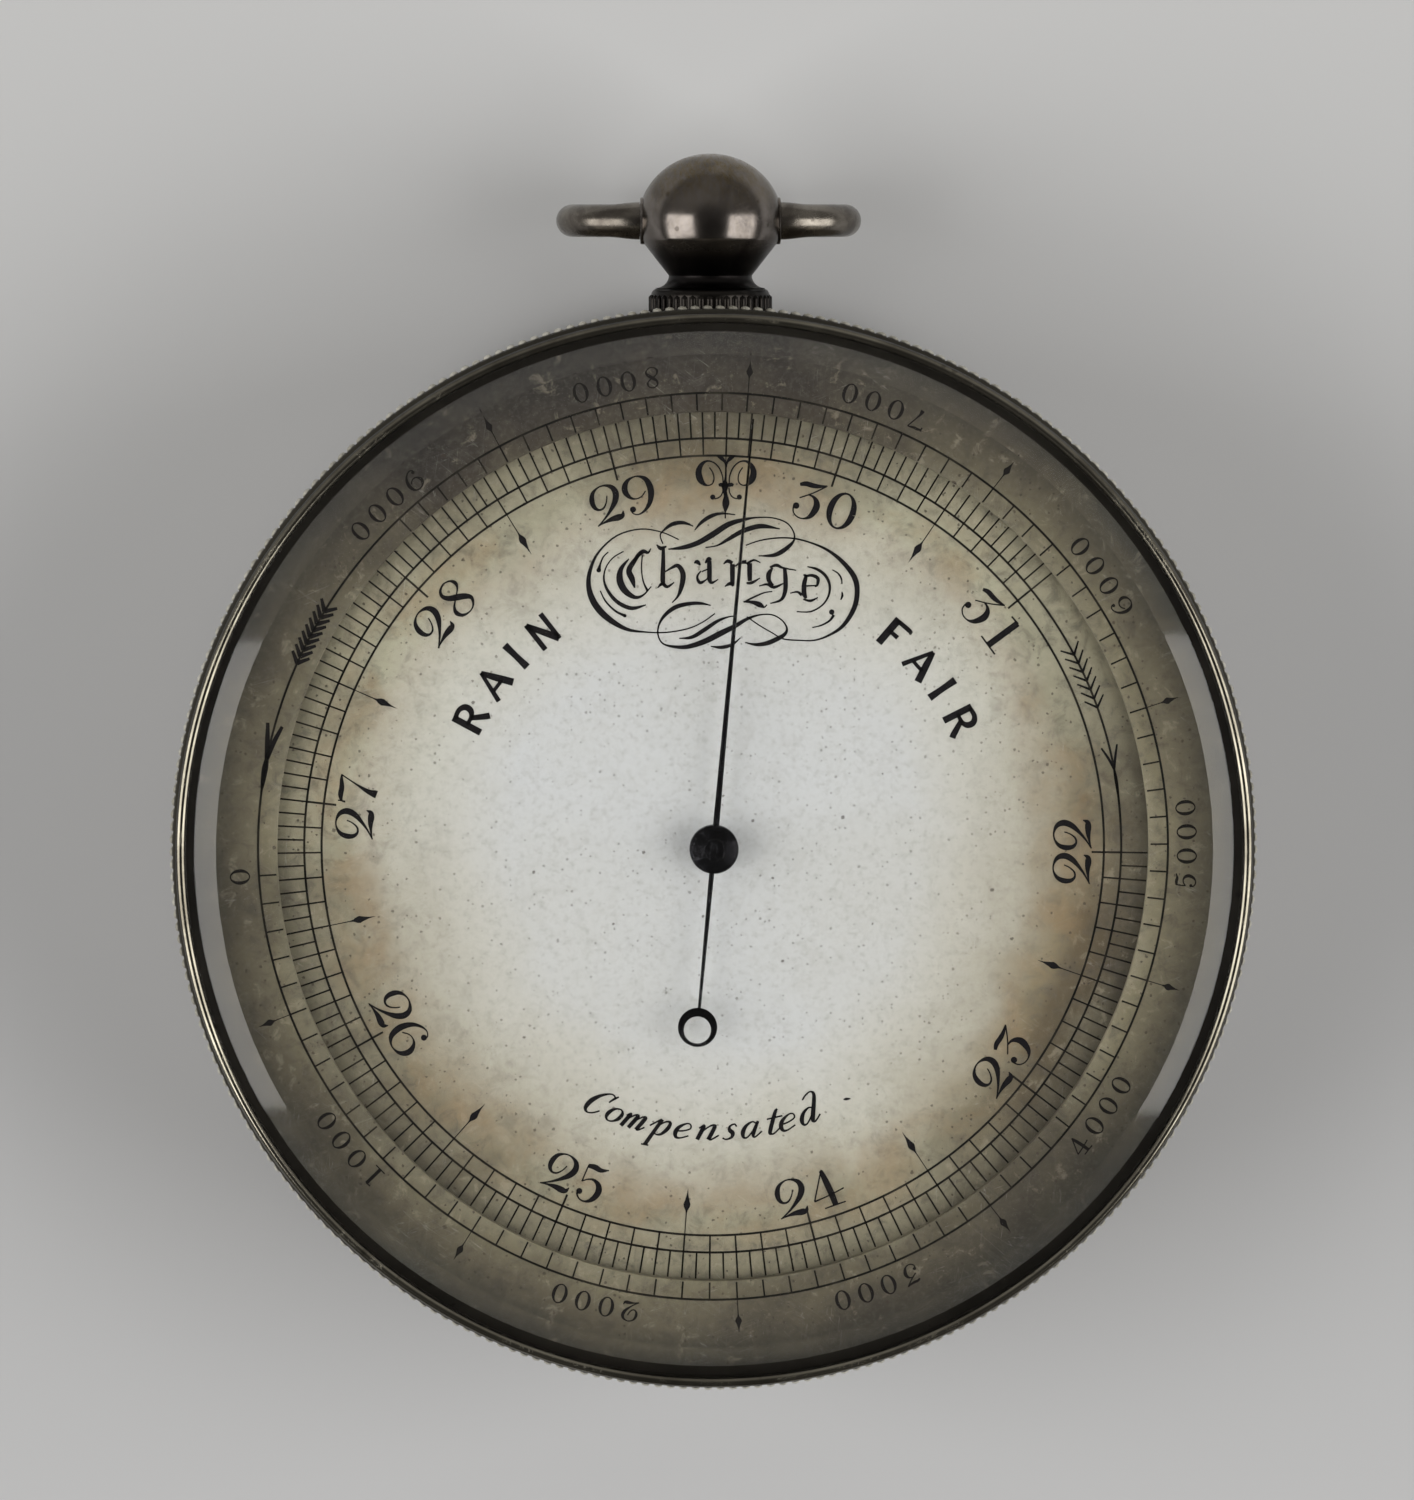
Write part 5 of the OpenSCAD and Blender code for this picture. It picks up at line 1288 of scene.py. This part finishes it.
CHANGE = (
    ((325, 275, 4), (288, 322, 16), (282, 375, 24), (306, 425, 23), (352, 456, 14), (392, 446, 7),
     (430, 405, 4)),
    ((385, 243, 5), (350, 285, 16), (325, 330, 20), (340, 370, 20), (352, 412, 5)),
    ((338, 300, 5), (365, 262, 14), (392, 240, 15), (415, 246, 9), (428, 226, 3)),
    ((388, 258, 5), (384, 320, 4), (392, 380, 5), (412, 425, 9)),
    ((455, 208, 3), (475, 226, 15), (502, 216, 5)),
    ((487, 222, 11), (486, 300, 15), (484, 370, 17), (486, 398, 14)),
    ((460, 412, 3), (482, 392, 13), (505, 407, 11), (538, 386, 4)),
    ((493, 338, 4), (525, 318, 9), (556, 308, 15), (579, 345, 19), (574, 400, 17), (556, 450, 9),
     (528, 482, 3)),
    ((632, 296, 4), (646, 290, 16), (662, 306, 5)),
    ((664, 332, 5), (646, 360, 8), (660, 388, 12), (690, 372, 5), (700, 350, 4)),
    ((684, 296, 5), (700, 276, 15), (712, 282, 8)),
    ((703, 285, 16), (704, 340, 17), (705, 375, 15), (716, 388, 10), (745, 372, 3)),
    ((668, 336, 5), (700, 322, 5)),
    ((770, 300, 3), (790, 286, 13), (812, 296, 12)),
    ((812, 300, 17), (812, 350, 17), (812, 398, 15)),
    ((776, 406, 3), (802, 392, 14), (818, 404, 8)),
    ((822, 312, 4), (850, 294, 10), (878, 290, 15)),
    ((893, 296, 17), (893, 345, 17), (894, 380, 15)),
    ((878, 300, 8), (912, 282, 8), (944, 294, 3)),
    ((878, 390, 8), (904, 388, 11), (942, 366, 3)),
    ((1002, 318, 6), (984, 345, 17), (984, 378, 15), (1004, 402, 9)),
    ((988, 316, 6), (1020, 306, 12), (1048, 318, 8), (1112, 330, 3)),
    ((1058, 322, 12), (1062, 370, 16), (1060, 430, 15), (1040, 470, 10), (990, 486, 4)),
    ((938, 404, 3), (975, 396, 9), (1008, 410, 11), (1052, 392, 5)),
    ((1000, 430, 3), (960, 436, 5), (905, 460, 7), (864, 480, 4)),
    ((864, 478, 5), (905, 480, 12), (940, 492, 19), (962, 506, 5)),
    ((962, 506, 5), (975, 492, 3)),
    ((1146, 352, 4), (1158, 358, 12), (1150, 395, 16), (1150, 440, 17), (1160, 462, 10)),
    ((1150, 360, 7), (1185, 354, 11), (1214, 368, 13), (1212, 398, 9), (1200, 408, 4)),
    ((1152, 404, 6), (1208, 402, 5)),
    ((1084, 438, 3), (1118, 432, 8), (1140, 448, 12)),
    ((1145, 466, 5), (1180, 474, 10), (1215, 458, 3)),
)
# The lily over the word, drawn about its own axis, 110 units to a millimetre
LILY_UNIT = 110
LILY_AT = (0.75, 21.31)
LILY_SIDE = (
    ((20, 15, 5), (23, 60, 8), (45, 115, 10), (84, 152, 10), (128, 158, 14), (162, 132, 28), (178, 88, 40),
     (168, 42, 42), (142, 10, 22), (114, 2, 8), (88, 14, 6), (78, 45, 8), (86, 85, 7), (108, 118, 4)),
    ((58, 192, 10), (30, 178, 26), (8, 152, 14), (2, 120, 4)),
    ((19, -12, 8), (23, -45, 7), (42, -74, 9), (74, -86, 8)),
    ((86, -74, 34),),
)
LILY_MIDDLE = (
    ((0, 150, 5), (0, 90, 5), (0, 20, 6)),
    ((-48, 2, 16), (-32, 6, 26), (0, 2, 22), (32, 6, 26), (48, 2, 16)),
    ((0, -18, 8), (0, -50, 16), (-1, -105, 46), (-3, -140, 34), (-5, -172, 10), (-5, -212, 4)),
)


def smooth_line(stroke, steps=4):
    dots = [Vector(dot) for dot in stroke]
    if len(dots) < 3:
        return dots
    line = []
    for k in range(len(dots) - 1):
        a, b, c, d = dots[max(k - 1, 0)], dots[k], dots[k + 1], dots[min(k + 2, len(dots) - 1)]
        for step in range(steps):
            t = step / steps
            line.append(b + (c - a) * t / 2 + (a - 2.5 * b + 2 * c - d / 2) * t ** 2
                        + (3 * b - a - 3 * c + d) * t ** 3 / 2)
    return line + [dots[-1]]


def ribbon(stroke):
    """The flat shape that the brush leaves, in millimetres, looking up."""
    if len(stroke) == 1:
        x, y, width = stroke[0]
        rim = arc((x, y), width / 2, 0, 360, 16)[:-1]
        return rim, [tuple(range(len(rim)))]
    line = smooth_line(stroke)
    points = []
    for k, dot in enumerate(line):
        way = line[min(k + 1, len(line) - 1)] - line[max(k - 1, 0)]
        half = max(dot.z, FINEST) / 2
        side = Vector((way.y, -way.x)).normalized() * half
        points += [(dot.x + side.x, dot.y + side.y), (dot.x - side.x, dot.y - side.y)]
    return points, [(2 * k, 2 * k + 2, 2 * k + 3, 2 * k + 1) for k in range(len(line) - 1)]


def on_circle(strokes, radius, angle, size, outward=True, lean=0.0, wide=1.0):
    """Places a letter on a circle of the face, with its top turned outwards or inwards."""
    a = math.radians(angle)
    side = size if outward else -size
    across = [x for stroke in strokes for x, _, _ in stroke]
    middle = (min(across) + max(across)) / 2
    placed = []
    for stroke in strokes:
        line = []
        for x, y, width in stroke:
            u = side * (wide * (x - middle) + lean * (y - 0.5))
            v = radius + side * (y - 0.5)
            line.append((v * math.sin(a) + u * math.cos(a), v * math.cos(a) - u * math.sin(a),
                         width * size))
        placed.append(line)
    return placed


def upright(strokes, at, unit, middle=(0, 0), down=1):
    """Places strokes that are drawn on their own grid upright on the face."""
    return [[(at[0] + (x - middle[0]) / unit, at[1] + down * (y - middle[1]) / unit, width / unit)
             for x, y, width in stroke] for stroke in strokes]


def mirrored(strokes):
    return [[(-x, y, width) for x, y, width in stroke] for stroke in strokes]


def number(value, radius, angle, size, pitch, outward):
    """A number's figures side by side on a circle, about its middle angle."""
    figures = str(value)
    step = math.degrees(pitch / radius) * (1 if outward else -1)
    strokes = []
    for k, figure in enumerate(figures):
        place = angle + step * (k - (len(figures) - 1) / 2)
        strokes += on_circle(FIGURES[figure], radius, place, size, outward)
    return strokes


def feathered(radius, tail, step, count, arm, width, barb, join, tip):
    """The feathers, barbs and long tip of an arrow that flies along a circle."""
    back = -math.degrees(arm / radius) * (1 if step > 0 else -1)
    strokes = []
    for side in (-arm, arm):
        for k in range(count):
            angle = tail + step * k
            strokes.append([around(radius + side, angle + back, width * 0.6),
                            around(radius, angle, width)])
        strokes.append([around(radius + side * 0.8, barb, width * 0.7),
                        around(radius + side * 0.35, (barb + join) / 2, width),
                        around(radius, join, width)])
    taper = (0.8, 1.3, 1.2, 0.9, 0.3)
    strokes.append([around(radius, join + (tip - join) * k / 4, width * share)
                    for k, share in enumerate(taper)])
    return strokes


def letter(name, body, strokes, z):
    points, faces = [], []
    for stroke in strokes:
        rim, cells = ribbon(stroke)
        faces += [tuple(k + len(points) for k in cell) for cell in cells]
        points += [(x, y, z) for x, y in rim]
    piece = make_piece(name, (points, faces), black_wax, closed=False)
    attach(piece, body)


def weighted(strokes, weight, least=0.0):
    """The same strokes with a heavier brush."""
    return [[(x, y, max(weight * width, least)) for x, y, width in stroke] for stroke in strokes]


def make_lettering():
    face = DIAL_TOP + INK_LIFT
    ring = RING_TOP + INK_LIFT
    strokes = []
    for inch, angle in INCH_AT.items():
        radius, aside, pitch = FIGURE_PLACES.get(inch, (INCH_FIGURE_R, 0.0, INCH_PITCH))
        strokes += number(inch, radius, angle + aside, INCH_FIGURE_H, pitch, inch >= INCHES_TURN_AT)
    letter("pressure_figures", "case", strokes, face)
    strokes = []
    for feet in range(0, 10000, 1000):
        angle = scale_angle(FEET_AT, feet)
        strokes += number(feet, FEET_FIGURE_R, angle, FEET_FIGURE_H, FEET_PITCH, feet < FEET_TURN_AT)
    letter("altitude_figures", "bezel", strokes, ring)
    strokes = []
    for word, radius, angles in WEATHER_WORDS:
        for capital, angle in zip(word, angles):
            strokes += on_circle(CAPITALS[capital], radius, angle, CAPITAL_H)
    letter("weather_words", "case", strokes, face)
    strokes = []
    for lines, weight in ((FLOURISH, FLOURISH_WEIGHT), (CHANGE, CHANGE_WEIGHT)):
        strokes += weighted(upright(lines, WORD_AT, WORD_UNIT, WORD_MIDDLE, -1), weight)
    letter("change_word", "case", strokes, face)
    strokes = []
    for small, angle, wide in SLANTED_WORD:
        strokes += on_circle(SCRIPT[small], SLANTED_R, angle, SLANTED_X_H, False, SLANT, wide)
    strokes = weighted(strokes, SLANTED_WEIGHT, SLANTED_FINEST) + [SLANTED_DASH]
    letter("compensated_word", "case", strokes, face)
    lily = list(LILY_SIDE) + mirrored(LILY_SIDE) + list(LILY_MIDDLE)
    letter("lily", "case", upright(lily, LILY_AT, LILY_UNIT), face)
    arrow = feathered(MID_CIRCLE_R, tail=62.0, step=1.35, count=7, arm=0.6, width=0.15, barb=75.8,
                      join=79.1, tip=84.0)
    letter("pressure_arrow", "case", arrow, face)
    arrow = feathered(ALTITUDE_CIRCLE_R, tail=301.5, step=-0.92, count=9, arm=0.55, width=0.28,
                      barb=285.9, join=281.5, tip=277.3)
    letter("altitude_arrow", "bezel", arrow, ring)


make_case()
make_pendant()
make_collar()
make_bow()
make_bezel()
make_crystal()
make_altitude_ring()
make_hand()
make_scales()
make_lettering()


# Floor, light and camera

FLOOR_HALF = 6000
FLOOR_Z = -0.02
SOFTBOX_SIZE = (0.44, 0.52)
SOFTBOX_POWER = 2.2
SOFTBOX_REACH = 0.6
SOFTBOX_TILT = math.radians(52)
SOFTBOX_Y = -0.07
AIM_Z = 0.01
CAMERA_DISTANCE = 451.5
CAMERA_LENS = 194.4
CAMERA_ASIDE = -0.37
CAMERA_UP = 5.725
LEAN_BACK = math.radians(4.2)
LEAN_ASIDE = math.radians(1.5)


def make_floor():
    """Pale and matt. Seen from below it is clear, so the back can be looked at."""
    made, w = new_material("pale_floor")
    _, y, _ = w.parts(w.place())
    cloud = w.noise(w.place(), 14.0, 3.0)
    # Painted light: the floor is painted lighter towards +Y, on the pendant's side, with a soft cloudy
    # unevenness over it
    tone = w.plus(w.remap(y, 0.0, 0.05), w.times(w.minus(cloud, 0.5), 0.5))
    colour = w.blend(tone, "d5d6d8", "e0e1e2")
    # It is also left out in the hair's breadth under the back and under the flat back itself,
    # so that light reaches both
    below = w.put("ShaderNodeNewGeometry").outputs["Backfacing"]
    reach = w.put("ShaderNodeLightPath").outputs["Ray Length"]
    open_share = w.maths("MAXIMUM", below, w.maths("LESS_THAN", reach, 0.0001))
    flat_back_r = CASE_R - BACK_EDGE_R - 0.8
    under = w.maths("LESS_THAN", w.group(round_place)["Radius"], flat_back_r)
    open_share = w.maths("MAXIMUM", open_share, under)
    finish_half_clear(w, open_share, {"Base Color": colour, "Roughness": 0.9})
    corners = [(x * FLOOR_HALF, y * FLOOR_HALF, FLOOR_Z)
               for x, y in ((-1, -1), (1, -1), (1, 1), (-1, 1))]
    shape = (corners, [(0, 1, 2, 3)])
    make_piece("floor", shape, made, closed=False)


def make_world():
    """Soft grey surroundings, lighter towards the pendant and dark straight above."""
    world = bpy.data.worlds.new("grey_room")
    world.use_nodes = True
    world.node_tree.nodes.clear()
    w = Wiring(world.node_tree)
    _, y, z = w.parts(w.put("ShaderNodeTexCoord").outputs["Generated"])
    side = w.ramp(w.remap(y, -1.0, 1.0, curve="LINEAR"),
                  [(0.0, 0.05), (0.42, 0.09), (0.6, 0.17), (0.8, 0.27), (1.0, 0.27)], grey=True)
    level = w.times(side, w.remap(z, 0.75, 0.985, 1.0, 0.45))
    back = w.put("ShaderNodeBackground", {"Color": "fdfaf5", "Strength": level})
    w.put("ShaderNodeOutputWorld", {"Surface": back.outputs[0]})
    scene.world = world


def aim(thing, place, target, up):
    back = (Vector(place) - Vector(target)).normalized()
    right = up.cross(back).normalized()
    turn = Matrix((right, back.cross(right), back)).transposed()
    thing.matrix_world = Matrix.Translation(Vector(place)) @ turn.to_4x4()


def make_lights():
    """Two soft lights, left and right, low enough to shine on the bevel of the glass."""
    across, rise = math.sin(SOFTBOX_TILT), math.cos(SOFTBOX_TILT)
    for side, name in ((-1, "softbox_left"), (1, "softbox_right")):
        lamp = bpy.data.lights.new(name, "AREA")
        lamp.shape = "RECTANGLE"
        lamp.size, lamp.size_y = SOFTBOX_SIZE
        lamp.energy = SOFTBOX_POWER
        lamp.color = (1.0, 0.985, 0.96)
        holder = bpy.data.objects.new(name, lamp)
        scene.collection.objects.link(holder)
        place = (side * SOFTBOX_REACH * across, SOFTBOX_Y, SOFTBOX_REACH * rise + AIM_Z)
        aim(holder, place, (0, 0, AIM_Z), Vector((-side * rise, 0, across)))


def make_camera():
    """The camera leans a little over the pendant and to its left, as far away as the photograph's."""
    camera = bpy.data.cameras.new("camera")
    camera.sensor_fit = "HORIZONTAL"
    camera.sensor_width = 36.0
    camera.lens = CAMERA_LENS
    camera.clip_start = 0.01
    camera.clip_end = 20.0
    holder = bpy.data.objects.new("camera", camera)
    scene.collection.objects.link(holder)
    look = Vector((math.tan(LEAN_ASIDE), -math.tan(LEAN_BACK), -1)).normalized()
    right = Vector((0, 1, 0)).cross(-look).normalized()
    up = right.cross(look)
    middle = Vector((0, 0, DIAL_TOP + 0.6))
    place = middle - CAMERA_DISTANCE * look + CAMERA_ASIDE * right + CAMERA_UP * up
    turn = Matrix((right, up, -look)).transposed()
    holder.matrix_world = Matrix.Translation(place * MM) @ turn.to_4x4()
    scene.camera = holder


make_floor()
make_world()
make_lights()
make_camera()
scene.view_settings.view_transform = "Standard"
